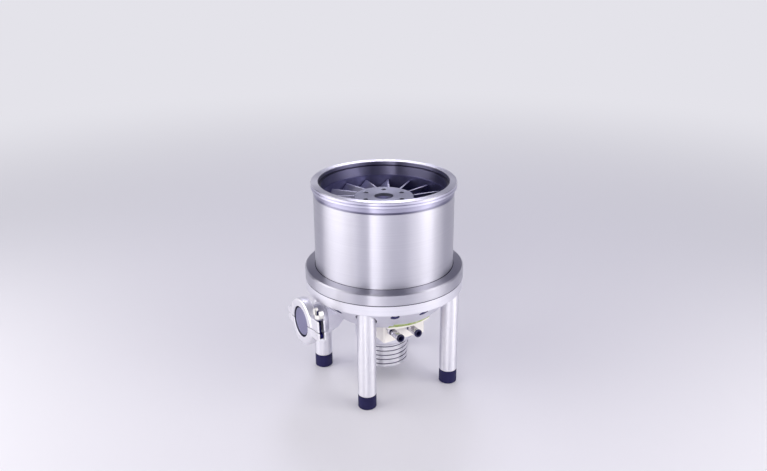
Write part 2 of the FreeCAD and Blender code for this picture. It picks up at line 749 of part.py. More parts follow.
# Centring ring, its seal and the blank flange that closes the port.
ring_wall = size("ring_wall", 1.4)
ring_play = size("ring_play", 0.1)
ring_step = size("ring_step", 2.2)
ring_radius = kf_recess - ring_play
name(turned([
    (ring_radius - ring_wall, -kf_recess_depth), (ring_radius, -kf_recess_depth),
    (ring_radius, 0), (ring_radius + ring_step, 0), (ring_radius + ring_step, seal_gap),
    (ring_radius, seal_gap), (ring_radius, seal_gap + kf_recess_depth),
    (ring_radius - ring_wall, seal_gap + kf_recess_depth),
], (-port_face, 0, port_level), ALONG_MINUS_X), "centring_ring")
foreline_seal_width = size("foreline_seal_width", 5.0)
foreline_seal_edge = size("foreline_seal_edge", 1.3)
seal_inner = ring_radius + ring_step
seal_outer = seal_inner + foreline_seal_width
name(turned([
    (seal_inner, 0), (seal_outer - foreline_seal_edge, 0), (seal_outer, foreline_seal_edge),
    (seal_outer, seal_gap - foreline_seal_edge), (seal_outer - foreline_seal_edge, seal_gap),
    (seal_inner, seal_gap),
], (-port_face, 0, port_level), ALONG_MINUS_X), "foreline_seal")
blank_thickness = size("blank_thickness", 5.5)
clamp_opening = size("clamp_opening", 31.2)
blank_step = size("blank_step", 0.5)
blank_room = size("blank_room", 0.8)
blank_lip = clamp_opening - blank_room
taper_at_blank = (kf_radius - blank_lip) * tangent(kf_taper)
name(turned([
    (0, kf_recess_depth), (kf_recess, kf_recess_depth), (kf_recess, 0), (kf_radius, 0),
    (kf_radius, kf_rim), (blank_lip, kf_rim + taper_at_blank),
    (blank_lip - blank_step, blank_thickness), (0, blank_thickness),
], (-port_face - seal_gap, 0, port_level), ALONG_MINUS_X), "blank_flange")

# Clamp: two cast half rings that squeeze the flanges' tapered rims. They hinge on a link
# at the +Y side and a swing bolt with a wing nut closes them at the -Y side.
# Its pieces are made about the clamp's own centre and turned a little about the port.
clamp_tilt = size("clamp_tilt", 5.0)
clamp_half_width = size("clamp_half_width", 10.0)
clamp_radius = size("clamp_radius", 48.2)
clamp_edge = size("clamp_edge", 2.5)
clamp_play = size("clamp_play", 0.3)
half_gap = size("half_gap", 0.6)
groove_half = seal_gap / 2 + kf_rim + clamp_play
groove_bottom = kf_radius + clamp_play * 2
taper_at_lip = (kf_radius - clamp_opening) * tangent(kf_taper)
lip_half = groove_half + taper_at_lip
ring_corners = [
    (clamp_opening, -clamp_half_width), (clamp_opening, -lip_half), (kf_radius, -groove_half),
    (groove_bottom, -groove_half), (groove_bottom, groove_half), (kf_radius, groove_half),
    (clamp_opening, lip_half), (clamp_opening, clamp_half_width),
    (clamp_radius - clamp_edge, clamp_half_width), (clamp_radius, clamp_half_width - clamp_edge),
    (clamp_radius, clamp_edge - clamp_half_width), (clamp_radius - clamp_edge, -clamp_half_width),
]
bolt_place = size("bolt_place", 67.0)
bolt_drop = size("bolt_drop", 9.0)
bolt_radius = size("bolt_radius", 4.0)
lug_half_width = size("lug_half_width", 8.0)
lug_reach = size("lug_reach", 77.0)
lug_height = size("lug_height", 25.0)
lug_depth = size("lug_depth", 18.0)
slot_play = size("slot_play", 0.5)
eye_play = size("eye_play", 0.2)
knuckle_place = size("knuckle_place", 57.0)
knuckle_rise = size("knuckle_rise", 8.0)
knuckle_radius = size("knuckle_radius", 7.4)
link_half_width = size("link_half_width", 3.0)
link_radius = size("link_radius", 6.2)
hinge_pin_radius = size("hinge_pin_radius", 2.5)
pin_play = size("pin_play", 0.06)
link_room = size("link_room", 1.0)
eye_radius = size("eye_radius", 7.0)
bolt_pin_radius = size("bolt_pin_radius", 3.0)
slot_half = bolt_radius + slot_play
clamp_place = (-clamp_reach, 0, port_level)
swing_radius = lug_height + bolt_drop - clamp_play


def across(radius, half_width, y, z):
    """A bar along X through the clamp, centred on its middle plane."""
    return cylinder(radius, half_width * 2, (-half_width, y, z), ALONG_X)


def clamp_half(side):
    """One half of the clamp: side is 1 for the upper half and -1 for the lower."""
    upper = side > 0
    low, high = (half_gap, lug_reach) if upper else (-lug_reach, -half_gap)
    ring = overlap(turned(ring_corners, turn=ALONG_X),
                   box((-clamp_half_width, -lug_reach, low), (clamp_half_width, lug_reach, high)))
    if upper:
        lug = box((-lug_half_width, -lug_reach, half_gap), (lug_half_width, 0, lug_height))
        inboard = box((-lug_half_width, -bolt_place, half_gap),
                      (lug_half_width, 0, lug_height))
        lug = overlap(lug, union([
            inboard, across(swing_radius, lug_half_width, -bolt_place, -bolt_drop)]))
    else:
        lug = box((-lug_half_width, -lug_reach, -lug_depth), (lug_half_width, 0, -half_gap))
    pin_z = knuckle_rise * side
    knuckle = union([
        across(knuckle_radius, lug_half_width, knuckle_place, pin_z),
        box((-lug_half_width, 0, pin_z - knuckle_radius),
            (lug_half_width, knuckle_place, pin_z + knuckle_radius))])
    hollow = across(groove_bottom, lug_half_width, 0, 0)
    lugs = cut(union([lug, knuckle]), [hollow])
    link_slot_half = link_half_width + clamp_play
    slot_inner = knuckle_place - link_radius - link_room
    slot_end = (slot_half if upper else eye_radius + link_room) - bolt_place
    tools = [
        box((-slot_half, -lug_reach, -lug_reach), (slot_half, slot_end, lug_reach)),
        box((-link_slot_half, slot_inner, -lug_reach), (link_slot_half, lug_reach, lug_reach)),
        across(hinge_pin_radius + (pin_play if upper else 0), clamp_half_width,
               knuckle_place, pin_z),
    ]
    if not upper:
        tools.append(across(bolt_pin_radius, clamp_half_width, -bolt_place, -bolt_drop))
    return cut(union([ring, lugs]), tools)


def place_clamp(thing, label):
    return name(put(group([thing]), clamp_place, tilt=-clamp_tilt), label)


place_clamp(clamp_half(1), "clamp_upper")
place_clamp(clamp_half(-1), "clamp_lower")

# Hinge link and its two pins.
link = union([
    across(link_radius, link_half_width, knuckle_place, knuckle_rise),
    across(link_radius, link_half_width, knuckle_place, -knuckle_rise),
    box((-link_half_width, knuckle_place - link_radius, -knuckle_rise),
        (link_half_width, knuckle_place + link_radius, knuckle_rise))])
link_pins = [across(hinge_pin_radius, lug_half_width, knuckle_place, knuckle_rise * side)
             for side in (-1, 1)]
place_clamp(cut(link, [across(hinge_pin_radius, clamp_half_width, knuckle_place,
                              knuckle_rise * side) for side in (-1, 1)]), "clamp_link")
place_clamp(group(link_pins), "clamp_link_pins")

# Swing bolt: an eye bolt on a pin in the lower lug, with a washer and a wing nut above
# the upper lug.
bolt_reach = size("bolt_reach", 56.0)
bolt_tip = size("bolt_tip", 1.0)
eye_half = bolt_radius + eye_play
bolt_shank = turned([
    (0, 0), (bolt_radius, 0), (bolt_radius, bolt_reach + bolt_drop - bolt_tip),
    (bolt_radius - bolt_tip, bolt_reach + bolt_drop), (0, bolt_reach + bolt_drop),
], (0, -bolt_place, -bolt_drop))
bolt = cut(union([bolt_shank, across(eye_radius, eye_half, -bolt_place, -bolt_drop)]),
           [across(bolt_pin_radius + pin_play, clamp_half_width, -bolt_place, -bolt_drop)])
place_clamp(bolt, "clamp_bolt")
place_clamp(across(bolt_pin_radius, lug_half_width, -bolt_place, -bolt_drop), "clamp_bolt_pin")
washer_radius = size("washer_radius", 8.5)
washer_thickness = size("washer_thickness", 1.6)
thread_play = size("thread_play", 0.08)
stack_play = size("stack_play", 0.1)
washer_level = lug_height + stack_play
place_clamp(turned([
    (bolt_radius + thread_play, 0), (washer_radius, 0),
    (washer_radius, washer_thickness), (bolt_radius + thread_play, washer_thickness),
], (0, -bolt_place, washer_level)), "clamp_washer")
nut_radius = size("nut_radius", 8.0)
nut_height = size("nut_height", 10.0)
wing_half_span = size("wing_half_span", 15.5)
wing_height = size("wing_height", 23.0)
wing_half_thickness = size("wing_half_thickness", 3.0)
wing_foot = size("wing_foot", 4.0)
wing_inner = size("wing_inner", 8.5)
wing_lean = size("wing_lean", 1.0)
wing_waist = size("wing_waist", 14.0)
nut_level = washer_level + washer_thickness + stack_play
wing_side = [
    (nut_radius, 0), (wing_half_span - wing_lean, wing_foot), (wing_half_span, wing_waist),
    (wing_half_span - wing_lean * 2, wing_height), (wing_inner, wing_height),
    (wing_inner - wing_lean, nut_height)]
wings = padded("YZ_Plane", wing_side + [(-y, z) for y, z in reversed(wing_side)],
               wing_half_thickness * 2, (0, -bolt_place, nut_level), both_ways=True)
nut_body = cylinder(nut_radius, nut_height, (0, -bolt_place, nut_level))
place_clamp(cut(union([wings, nut_body]), [
    cylinder(bolt_radius + thread_play, wing_height, (0, -bolt_place, nut_level))]), "wing_nut")

# Rotor: a bell whose head shows in the inlet, five bladed discs shrunk onto its skirt,
# and the shaft bolted under its head.
rotor_top = size("rotor_top", 34.0)
head_radius = size("head_radius", 60.0)
head_thickness = size("head_thickness", 2.5)
head_edge = size("head_edge", 1.5)
bell_radius = size("bell_radius", 56.0)
bell_bore = size("bell_bore", 50.0)
bell_bottom = size("bell_bottom", 166.5)
web_thickness = size("web_thickness", 16.0)
recess_radius = size("recess_radius", 19.0)
recess_depth = size("recess_depth", 7.0)
head_hole_circle = size("head_hole_circle", 41.5)
head_hole_radius = size("head_hole_radius", 5.1)
head_hole_depth = size("head_hole_depth", 8.0)
head_thread = size("head_thread", 3.0)
shaft_nose = size("shaft_nose", 11.0)
head_bottom = -rotor_top - head_thickness
web_bottom = -rotor_top - web_thickness
bell = turned([
    (shaft_nose, web_bottom), (bell_bore, web_bottom), (bell_bore, -bell_bottom),
    (bell_radius, -bell_bottom), (bell_radius, head_bottom), (head_radius, head_bottom),
    (head_radius, -rotor_top - head_edge), (head_radius - head_edge, -rotor_top),
    (recess_radius, -rotor_top), (recess_radius, -rotor_top - recess_depth),
    (shaft_nose, -rotor_top - recess_depth),
])
head_screws = 6
head_angles = [step * 360 / head_screws for step in range(head_screws)]
head_seat = -rotor_top - head_hole_depth
head_spots = spots(head_hole_circle, head_angles, head_seat)
name(cut(bell, [cylinder(head_hole_radius, head_hole_depth, spot) for spot in head_spots]
         + [cylinder(head_thread, web_thickness - head_hole_depth, (x, y, web_bottom))
            for x, y, z in head_spots]), "rotor_bell")
shaft_flange_radius = size("shaft_flange_radius", 47.5)
shaft_flange = size("shaft_flange", 11.0)
head_screw_length = size("head_screw_length", 18.0)
head_screw_radius = size("head_screw_radius", 4.9)
head_screw_height = size("head_screw_height", 5.0)
upside_down = Rotation(Vector(1, 0, 0), 180)
name(group([cap_screw(head_thread, head_screw_length, head_screw_radius, head_screw_height,
                      spot, upside_down) for spot in head_spots]), "rotor_screws")
shaft_radius = size("shaft_radius", 10.0)
shaft_shoulder = size("shaft_shoulder", 13.0)
magnet_core = size("magnet_core", 12.0)
magnet_top = size("magnet_top", 140.0)
magnet_length = size("magnet_length", 62.0)
shaft_end = size("shaft_end", 312.0)
oil_cone_end = size("oil_cone_end", 372.0)
oil_cone_tip = size("oil_cone_tip", 3.0)
magnet_bottom = -magnet_top - magnet_length
flange_bottom = web_bottom - shaft_flange
shaft_taper = size("shaft_taper", 10.0)
nose_rise = size("nose_rise", 3.0)
nose_top = -rotor_top - recess_depth + nose_rise
upper_seat = bearing_height - upper_bearing
shaft = turned([
    (0, nose_top), (shaft_nose, nose_top),
    (shaft_nose, web_bottom), (shaft_flange_radius, web_bottom),
    (shaft_flange_radius, flange_bottom), (shaft_shoulder, flange_bottom - shaft_taper),
    (shaft_shoulder, upper_seat), (shaft_radius, upper_seat), (shaft_radius, -upper_bearing),
    (magnet_core, -upper_bearing - bearing_floor), (magnet_core, magnet_bottom),
    (shaft_shoulder, magnet_bottom),
    (shaft_shoulder, bearing_height - lower_bearing), (shaft_radius, bearing_height - lower_bearing),
    (shaft_radius, -shaft_end), (oil_cone_tip, -oil_cone_end), (0, -oil_cone_end),
])
name(cut(shaft, [cylinder(head_thread, head_screw_length, (x, y, head_seat - head_screw_length))
                 for x, y, z in head_spots]), "rotor_shaft")

# Bladed discs: flat inclined blades between a root ring and the tip, opposite ways on
# rotor and stator. The lower the stage, the shorter, flatter and closer its blades.
tip_radius = size("tip_radius", 118.5)
blade_root_depth = size("blade_root_depth", 1.0)
stack_bore = size("stack_bore", 121.5)
stage_gap = size("stage_gap", 2.0)
blade_thickness = size("blade_thickness", 2.4)
stator_ring = size("stator_ring", 3.0)
stator_play = size("stator_play", 1.5)
stack_top = size("stack_top", 28.0)
rotor_heights = [size(f"rotor_height_{stage}", height)
                 for stage, height in enumerate((22.0, 16.0, 12.0, 10.0, 10.0), 1)]
stator_heights = [size(f"stator_height_{stage}", height)
                  for stage, height in enumerate((12.0, 10.0, 8.0, 8.0), 1)]
root_radii = [size(f"root_radius_{stage}", radius)
              for stage, radius in enumerate((60.0, 70.0, 80.0, 88.0, 92.0), 1)]
blade_angles = [size(f"blade_angle_{stage}", angle)
                for stage, angle in enumerate((45.0, 36.0, 30.0, 24.0, 20.0), 1)]
blade_phase = size("blade_phase", 15.7)
rotor_counts = (16, 17, 18, 20, 20)
stator_counts = (17, 18, 19, 19)


def bladed(ring_corners, inner, outer, top, height, angle, count, lean):
    """A disc with flat blades: one blade is pushed out from inside the root ring and
    repeated round the axis. lean is 1 or -1, the way that the blades slope."""
    body = turned(ring_corners)
    rise = height / 2
    run = rise / tangent(angle)
    half = blade_thickness / sine(angle) / 2
    middle = top - rise
    sketch = sketch_outline(body, "YZ_Plane", [
        (run * -lean - half, middle - rise), (run * -lean + half, middle - rise),
        (run * lean + half, middle + rise), (run * lean - half, middle + rise)])
    sketch.AttachmentOffset = Placement(Vector(0, 0, inner.number), Rotation())
    sketch.setExpression("AttachmentOffset.Base.z", inner.formula)
    pad = body.newObject("PartDesign::Pad", "Pad")
    pad.Profile = sketch
    bind(pad, "Length", outer - inner)
    pattern = body.newObject("PartDesign::PolarPattern", "PolarPattern")
    pattern.Originals = [pad]
    pattern.Axis = ([item for item in body.Origin.OriginFeatures if item.Role == "Z_Axis"][0], [""])
    pattern.Angle = 360
    pattern.Occurrences = count
    body.Tip = pattern
    return body


rotor_bottom = head_bottom
for stage, (height, root, angle, count) in enumerate(
        zip(rotor_heights, root_radii, blade_angles, rotor_counts)):
    top = rotor_bottom
    blades_bottom = top - height
    last = stage == len(stator_heights)
    rotor_bottom = blades_bottom if last else (
        blades_bottom - stage_gap * 2 - stator_heights[stage])
    if last or root.number == head_radius.number:
        corners = [(bell_radius, top), (root, top), (root, rotor_bottom),
                   (bell_radius, rotor_bottom)]
    else:
        corners = [(bell_radius, top), (root, top), (root, blades_bottom),
                   (head_radius, blades_bottom), (head_radius, rotor_bottom),
                   (bell_radius, rotor_bottom)]
    disc = bladed(corners, root - blade_root_depth, tip_radius, top, height, angle, count, -1)
    disc.Placement = Placement(Vector(), Rotation(Vector(0, 0, 1), blade_phase.number))
    disc.setExpression("Placement.Rotation.Angle", blade_phase.formula)
    name(disc, f"rotor_disc_{stage + 1}")
    if last:
        break
    stator_top = blades_bottom - stage_gap
    stator_height = stator_heights[stage]
    stator_bottom = stator_top - stator_height
    next_height = rotor_heights[stage + 1]
    ring_bottom = parting if stage == len(stator_heights) - 1 else (
        stator_bottom - stage_gap - next_height - stage_gap)
    outer_ring = casing_bore - slip
    inner_ring = head_radius + stator_play
    body = bladed([
        (stack_bore, stator_top), (outer_ring, stator_top), (outer_ring, ring_bottom),
        (stack_bore, ring_bottom)],
        inner_ring + stator_ring - blade_root_depth, stack_bore + blade_root_depth,
        stator_top, stator_height,
        blade_angles[stage + 1], stator_counts[stage], 1)
    rim = turned([
        (inner_ring, stator_top), (inner_ring + stator_ring, stator_top),
        (inner_ring + stator_ring, stator_bottom), (inner_ring, stator_bottom)])
    name(join(body, rim), f"stator_disc_{stage + 1}")

# Top spacer: the ring that locates the stator stack and shows as a step in the inlet.
first_stator_top = head_bottom - rotor_heights[0] - stage_gap
name(turned([
    (stack_bore, -stack_top), (casing_bore - slip, -stack_top),
    (casing_bore - slip, first_stator_top), (stack_bore, first_stator_top),
]), "stack_spacer")

# Motor: a wound stator in the tube and a magnet sleeve on the shaft.
motor_air_bore = size("motor_air_bore", 17.5)
magnet_radius = size("magnet_radius", 16.0)
coil_overhang = size("coil_overhang", 6.0)
coil_inner = size("coil_inner", 21.0)
coil_outer = size("coil_outer", 34.0)
name(turned([
    (motor_air_bore, magnet_bottom), (coil_inner, magnet_bottom),
    (coil_inner, magnet_bottom - coil_overhang), (coil_outer, magnet_bottom - coil_overhang),
    (coil_outer, magnet_bottom), (motor_bore, magnet_bottom), (motor_bore, -magnet_top),
    (coil_outer, -magnet_top), (coil_outer, coil_overhang - magnet_top),
    (coil_inner, coil_overhang - magnet_top), (coil_inner, -magnet_top),
    (motor_air_bore, -magnet_top),
]), "motor_stator")
name(turned([
    (magnet_core, magnet_bottom), (magnet_radius, magnet_bottom),
    (magnet_radius, -magnet_top), (magnet_core, -magnet_top),
]), "motor_magnet")

# Bearings: two angular contact ball bearings of 20 x 47 x 14 mm.
track_depth = size("track_depth", 1.2)
track_half_width = size("track_half_width", 2.8)
ball_radius = size("ball_radius", 3.6)
ball_count = 7
ball_circle = (bearing_outer + shaft_radius) / 2
bearing_levels = (-upper_bearing, -lower_bearing)
outer_track = ball_circle + ball_radius
inner_track = ball_circle - ball_radius


def bearing_ring(seat, face, track, level):
    """A bearing ring with a shallow track for the balls at the middle of its height."""
    middle = level + bearing_height / 2
    return turned([
        (seat, level), (face, level), (face, middle - track_half_width),
        (track, middle - track_half_width), (track, middle + track_half_width),
        (face, middle + track_half_width),
        (face, level + bearing_height), (seat, level + bearing_height)])


name(group([bearing_ring(bearing_outer, outer_track - track_depth, outer_track + pin_play, level)
            for level in bearing_levels]), "bearing_outer_rings")
name(group([bearing_ring(shaft_radius, inner_track + track_depth, inner_track - pin_play, level)
            for level in bearing_levels]), "bearing_inner_rings")


def ball(spot):
    thing = doc.addObject("Part::Sphere", "Sphere")
    bind(thing, "Radius", ball_radius)
    return put(thing, spot)


ball_angles = [number * 360 / ball_count for number in range(ball_count)]
name(group([ball(spot) for level in bearing_levels
            for spot in spots(ball_circle, ball_angles, level + bearing_height / 2)]),
     "bearing_balls")

# Build, check and write every sub-part.
doc.recompute()
faults = []
for thing in doc.Objects:
    if any(word in ("Invalid", "Error") for word in thing.State):
        faults.append(f"{thing.Name} {thing.Label}: {thing.State}")
for thing in sub_parts:
    if thing.Shape.isNull() or not thing.Shape.isValid():
        faults.append(f"{thing.Label}: shape is not valid")
labels = [thing.Label for thing in sub_parts]
if len(set(labels)) != len(labels):
    faults.append("two sub-parts share a label")
if faults:
    print("\n".join(faults))
    sys.exit(1)
os.makedirs("parts", exist_ok=True)
for thing in sub_parts:
    thing.Shape.exportStep(f"parts/{thing.Label}.step")
    print(f"{thing.Label}: {len(thing.Shape.Solids)} solids, {thing.Shape.Volume:.0f} mm3")
print(len(sub_parts), "sub-parts")
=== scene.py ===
import math

import bmesh
import bpy
from mathutils import Matrix, Vector


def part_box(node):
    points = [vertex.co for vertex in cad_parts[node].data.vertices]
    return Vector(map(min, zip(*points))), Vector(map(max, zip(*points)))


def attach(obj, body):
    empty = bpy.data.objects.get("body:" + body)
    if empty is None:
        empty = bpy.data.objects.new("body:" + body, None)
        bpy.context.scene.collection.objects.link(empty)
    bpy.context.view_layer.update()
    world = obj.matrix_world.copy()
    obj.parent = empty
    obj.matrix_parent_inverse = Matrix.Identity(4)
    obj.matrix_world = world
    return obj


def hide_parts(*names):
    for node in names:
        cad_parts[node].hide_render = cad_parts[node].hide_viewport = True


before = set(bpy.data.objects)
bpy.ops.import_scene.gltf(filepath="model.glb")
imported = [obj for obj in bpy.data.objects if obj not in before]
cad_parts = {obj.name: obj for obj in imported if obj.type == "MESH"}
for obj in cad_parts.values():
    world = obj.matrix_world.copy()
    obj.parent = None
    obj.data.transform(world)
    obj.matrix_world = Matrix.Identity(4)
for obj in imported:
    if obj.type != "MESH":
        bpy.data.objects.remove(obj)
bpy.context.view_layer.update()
MM = 0.001

# Camera: a normal lens a step back and above the inlet, looking down past the
# front leg, with the foreline clamp on the left. The picture leans a hair.
picture_width = 767
pump_axis_px = 384.08
focal_px = 816.3
camera_distance = 1.5461
camera_height = 0.4825
camera_pitch = math.radians(21.257)
camera_side = math.radians(30.23)
camera_roll = math.radians(-0.294)

camera_data = bpy.data.cameras.new("camera")
camera_data.sensor_width = 36.0
camera_data.lens = focal_px / picture_width * camera_data.sensor_width
camera = bpy.data.objects.new("camera", camera_data)
off_centre = math.atan2(pump_axis_px - picture_width / 2, focal_px)
camera_aim = (Matrix.Rotation(off_centre - camera_side, 4, "Z")
              @ Matrix.Rotation(math.pi / 2 - camera_pitch, 4, "X")
              @ Matrix.Rotation(camera_roll, 4, "Z"))
camera.matrix_world = Matrix.Translation((
    -camera_distance * math.sin(camera_side),
    -camera_distance * math.cos(camera_side), camera_height)) @ camera_aim
bpy.context.scene.collection.objects.link(camera)
bpy.context.scene.camera = camera
bpy.context.scene.view_settings.view_transform = "Standard"


# Floor: one pale seamless paper sheet, turned up at its far edges, with a faint sheen in
# which the feet and the sump show softly. Away from the pump it turns into an even
# backdrop, which the metal shows too.
def linear(code):
    """An sRGB hex colour as the linear RGBA that the shaders take."""
    values = [int(code[i:i + 2], 16) / 255 for i in (1, 3, 5)]
    return [v / 12.92 if v <= 0.04045 else ((v + 0.055) / 1.055) ** 2.4 for v in values] + [1.0]


def add(tree, kind, sockets=None, **settings):
    """Adds one node: settings are its properties and sockets its inputs, each a value or
    the output that feeds it."""
    new = tree.nodes.new(kind)
    for key, value in settings.items():
        setattr(new, key, value)
    for key, value in (sockets or {}).items():
        if isinstance(value, bpy.types.NodeSocket):
            tree.links.new(value, new.inputs[key])
        else:
            new.inputs[key].default_value = value
    return new


def new_material(name):
    """An empty material and its tree of nodes."""
    material = bpy.data.materials.new(name)
    material.use_nodes = True
    material.node_tree.nodes.clear()
    return material, material.node_tree


def finish_surface(tree, sockets):
    """Ends a material with its one surface shader."""
    shader = add(tree, "ShaderNodeBsdfPrincipled", sockets)
    add(tree, "ShaderNodeOutputMaterial", {"Surface": shader.outputs["BSDF"]})


floor_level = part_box("foot_front")[0].z
flat_reach, edge_reach, edge_rise = 30.0, 34.0, 12.0
paper_reach, backdrop_reach = 0.1, 3.2
floor_mesh = bpy.data.meshes.new("floor")
floor_mesh.from_pydata(
    [(x * reach, y * reach, floor_level + rise)
     for reach, rise in ((flat_reach, 0.0), (edge_reach, edge_rise))
     for x, y in ((-1, -1), (1, -1), (1, 1), (-1, 1))],
    [], [(0, 1, 2, 3), (0, 4, 5, 1), (1, 5, 6, 2), (2, 6, 7, 3), (3, 7, 4, 0)])
floor = bpy.data.objects.new("floor", floor_mesh)
bpy.context.scene.collection.objects.link(floor)
sheet, tree = new_material("seamless_paper")
place = add(tree, "ShaderNodeTexCoord")
distance = add(tree, "ShaderNodeVectorMath", {0: place.outputs["Object"]}, operation="LENGTH")
far = add(tree, "ShaderNodeMapRange", {
    "Value": distance.outputs["Value"], "From Min": paper_reach, "From Max": backdrop_reach},
    interpolation_type="SMOOTHSTEP")
paper = add(tree, "ShaderNodeBsdfPrincipled", {
    "Base Color": linear("#EFEEF3"), "Roughness": 0.34, "Specular IOR Level": 0.3})
backdrop = add(tree, "ShaderNodeEmission", {"Color": linear("#E4E3EA"), "Strength": 1.0})
ray = add(tree, "ShaderNodeLightPath")
seen = add(tree, "ShaderNodeMath", {
    0: ray.outputs["Is Camera Ray"], 1: ray.outputs["Is Glossy Ray"]}, operation="MAXIMUM")
seen = add(tree, "ShaderNodeMath", {
    0: seen.outputs["Value"], 1: ray.outputs["Is Transmission Ray"]}, operation="MAXIMUM")
share = add(tree, "ShaderNodeMath", {
    0: seen.outputs["Value"], 1: far.outputs["Result"]}, operation="MULTIPLY")
blend = add(tree, "ShaderNodeMixShader", {
    0: share.outputs["Value"], 1: paper.outputs["BSDF"], 2: backdrop.outputs["Emission"]})
add(tree, "ShaderNodeOutputMaterial", {"Surface": blend.outputs["Shader"]})
floor_mesh.materials.append(sheet)

# Light: tall soft boxes round the pump, whose graded cloth the turned metal draws as
# upright bands, a wide one overhead, one behind for the flat faces, a low one for the
# cone, and a lavender room that fills the shadows.
pump_middle = Vector((0, 0, -0.15))


def place_lamp(name, distance, height, tall, colour, grades):
    """A soft box that faces the pump. Its grades are pairs of an angle in degrees from
    the camera's side, positive to its right, and how bright the cloth looks there."""
    first, last = grades[0][0], grades[-1][0]
    middle, half = (first + last) / 2, math.radians(last - first) / 2
    width = 2 * distance * math.tan(half)
    lamp_data = bpy.data.lights.new(name, "AREA")
    lamp_data.shape = "RECTANGLE"
    lamp_data.size, lamp_data.size_y = width, tall
    lamp_data.energy = math.pi * width * tall
    lamp_data.color = linear(colour)[:3]
    lamp_data.use_nodes = True
    tree = lamp_data.node_tree
    tree.nodes.clear()
    spot = add(tree, "ShaderNodeNewGeometry")
    along = add(tree, "ShaderNodeSeparateXYZ", {"Vector": spot.outputs["Parametric"]})
    brightest = max(level for angle, level in grades)
    cloth = add(tree, "ShaderNodeValToRGB", {"Fac": along.outputs["X"]})
    stops = cloth.color_ramp.elements
    while len(stops) < len(grades):
        stops.new(0.5)
    for stop, (angle, level) in zip(stops, grades):
        stop.position = 0.5 + math.tan(math.radians(angle - middle)) / math.tan(half) / 2
        stop.color = [level / brightest] * 3 + [1]
    glow = add(tree, "ShaderNodeEmission", {
        "Color": cloth.outputs["Color"], "Strength": brightest})
    add(tree, "ShaderNodeOutputLight", {"Surface": glow.outputs["Emission"]})
    lamp = bpy.data.objects.new(name, lamp_data)
    around = math.radians(middle) - camera_side
    lamp.location = (distance * math.sin(around), -distance * math.cos(around), height)
    lamp.rotation_euler = (pump_middle - lamp.location).to_track_quat("-Z", "Y").to_euler()
    lamp.visible_camera = False
    bpy.context.scene.collection.objects.link(lamp)


place_lamp("left_box", distance=1.35, height=0.25, tall=1.35, colour="#FFFDF8", grades=[
    (-114, 0.1), (-106, 1.3), (-94, 2.3), (-80, 2.75), (-62, 2.3), (-50, 1.6), (-38, 0.5),
    (-31, 0.0)])
place_lamp("front_box", distance=2.2, height=0.5, tall=1.7, colour="#FFFDF8", grades=[
    (-22, 3.7), (-14, 3.5), (-9, 2.4), (-1, 0.95), (7, 0.25), (14, 0.0)])
place_lamp("right_box", distance=1.35, height=0.25, tall=1.35, colour="#FFFDF8", grades=[
    (33, 0.4), (45, 1.1), (56, 2.2), (66, 2.9), (75, 2.9), (86, 1.4), (98, 0.7), (110, 0.0)])
place_lamp("top_box", distance=1.3, height=1.9, tall=1.4, colour="#F4F2FF", grades=[
    (115, 0.8), (185, 0.8)])
place_lamp("back_box", distance=1.7, height=1.75, tall=0.9, colour="#F1EFFF", grades=[
    (167, 6.0), (193, 6.0)])
place_lamp("low_box", distance=1.5, height=-0.22, tall=0.3, colour="#FBFAFF", grades=[
    (-50, 1.1), (0, 1.9), (50, 1.1)])

room = bpy.data.worlds.new("room")
bpy.context.scene.world = room
room.use_nodes = True
tree = room.node_tree
tree.nodes.clear()
glow = add(tree, "ShaderNodeBackground", {"Color": linear("#B4B1CC"), "Strength": 0.38})
add(tree, "ShaderNodeOutputWorld", {"Surface": glow.outputs["Background"]})


# Inlet casing: a tube of aluminium 6082 with its flanges, turned all over from one
# forging. The feed marks of the tool run round it, so light spreads up and down. Its
# sealing face on top is painted near white as a painted highlight, its bore is painted a
# dull violet as painted shade, and its seams, grooves and the corners under its flange
# carry painted shade as dark lines and bands.
def turning(tree):
    """The place of each point, its radius from the pump's axis and its height."""
    place = add(tree, "ShaderNodeTexCoord")
    flat = add(tree, "ShaderNodeVectorMath", {
        0: place.outputs["Object"], 1: (1.0, 1.0, 0.0)}, operation="MULTIPLY")
    radius = add(tree, "ShaderNodeVectorMath", {0: flat.outputs["Vector"]}, operation="LENGTH")
    parts = add(tree, "ShaderNodeSeparateXYZ", {"Vector": place.outputs["Object"]})
    return place.outputs["Object"], radius.outputs["Value"], parts.outputs["Z"]


def zone(tree, radius, height, radii, heights, slope=0.0):
    """1 in a ring-shaped region of the pump, given by its heights and by its radii at the
    lower one, which grow with height by the slope, and 0 elsewhere."""
    upright = add(tree, "ShaderNodeMath", {0: height, 1: -slope, 2: radius},
                  operation="MULTIPLY_ADD")
    inside = []
    for value, limits in ((upright.outputs["Value"], [r - slope * heights[0] for r in radii]),
                          (height, heights)):
        low, high = limits
        inside.append(add(tree, "ShaderNodeMath", {
            0: value, 1: (low + high) / 2, 2: (high - low) / 2}, operation="COMPARE"))
    return add(tree, "ShaderNodeMath", {
        0: inside[0].outputs["Value"], 1: inside[1].outputs["Value"]},
        operation="MULTIPLY").outputs["Value"]


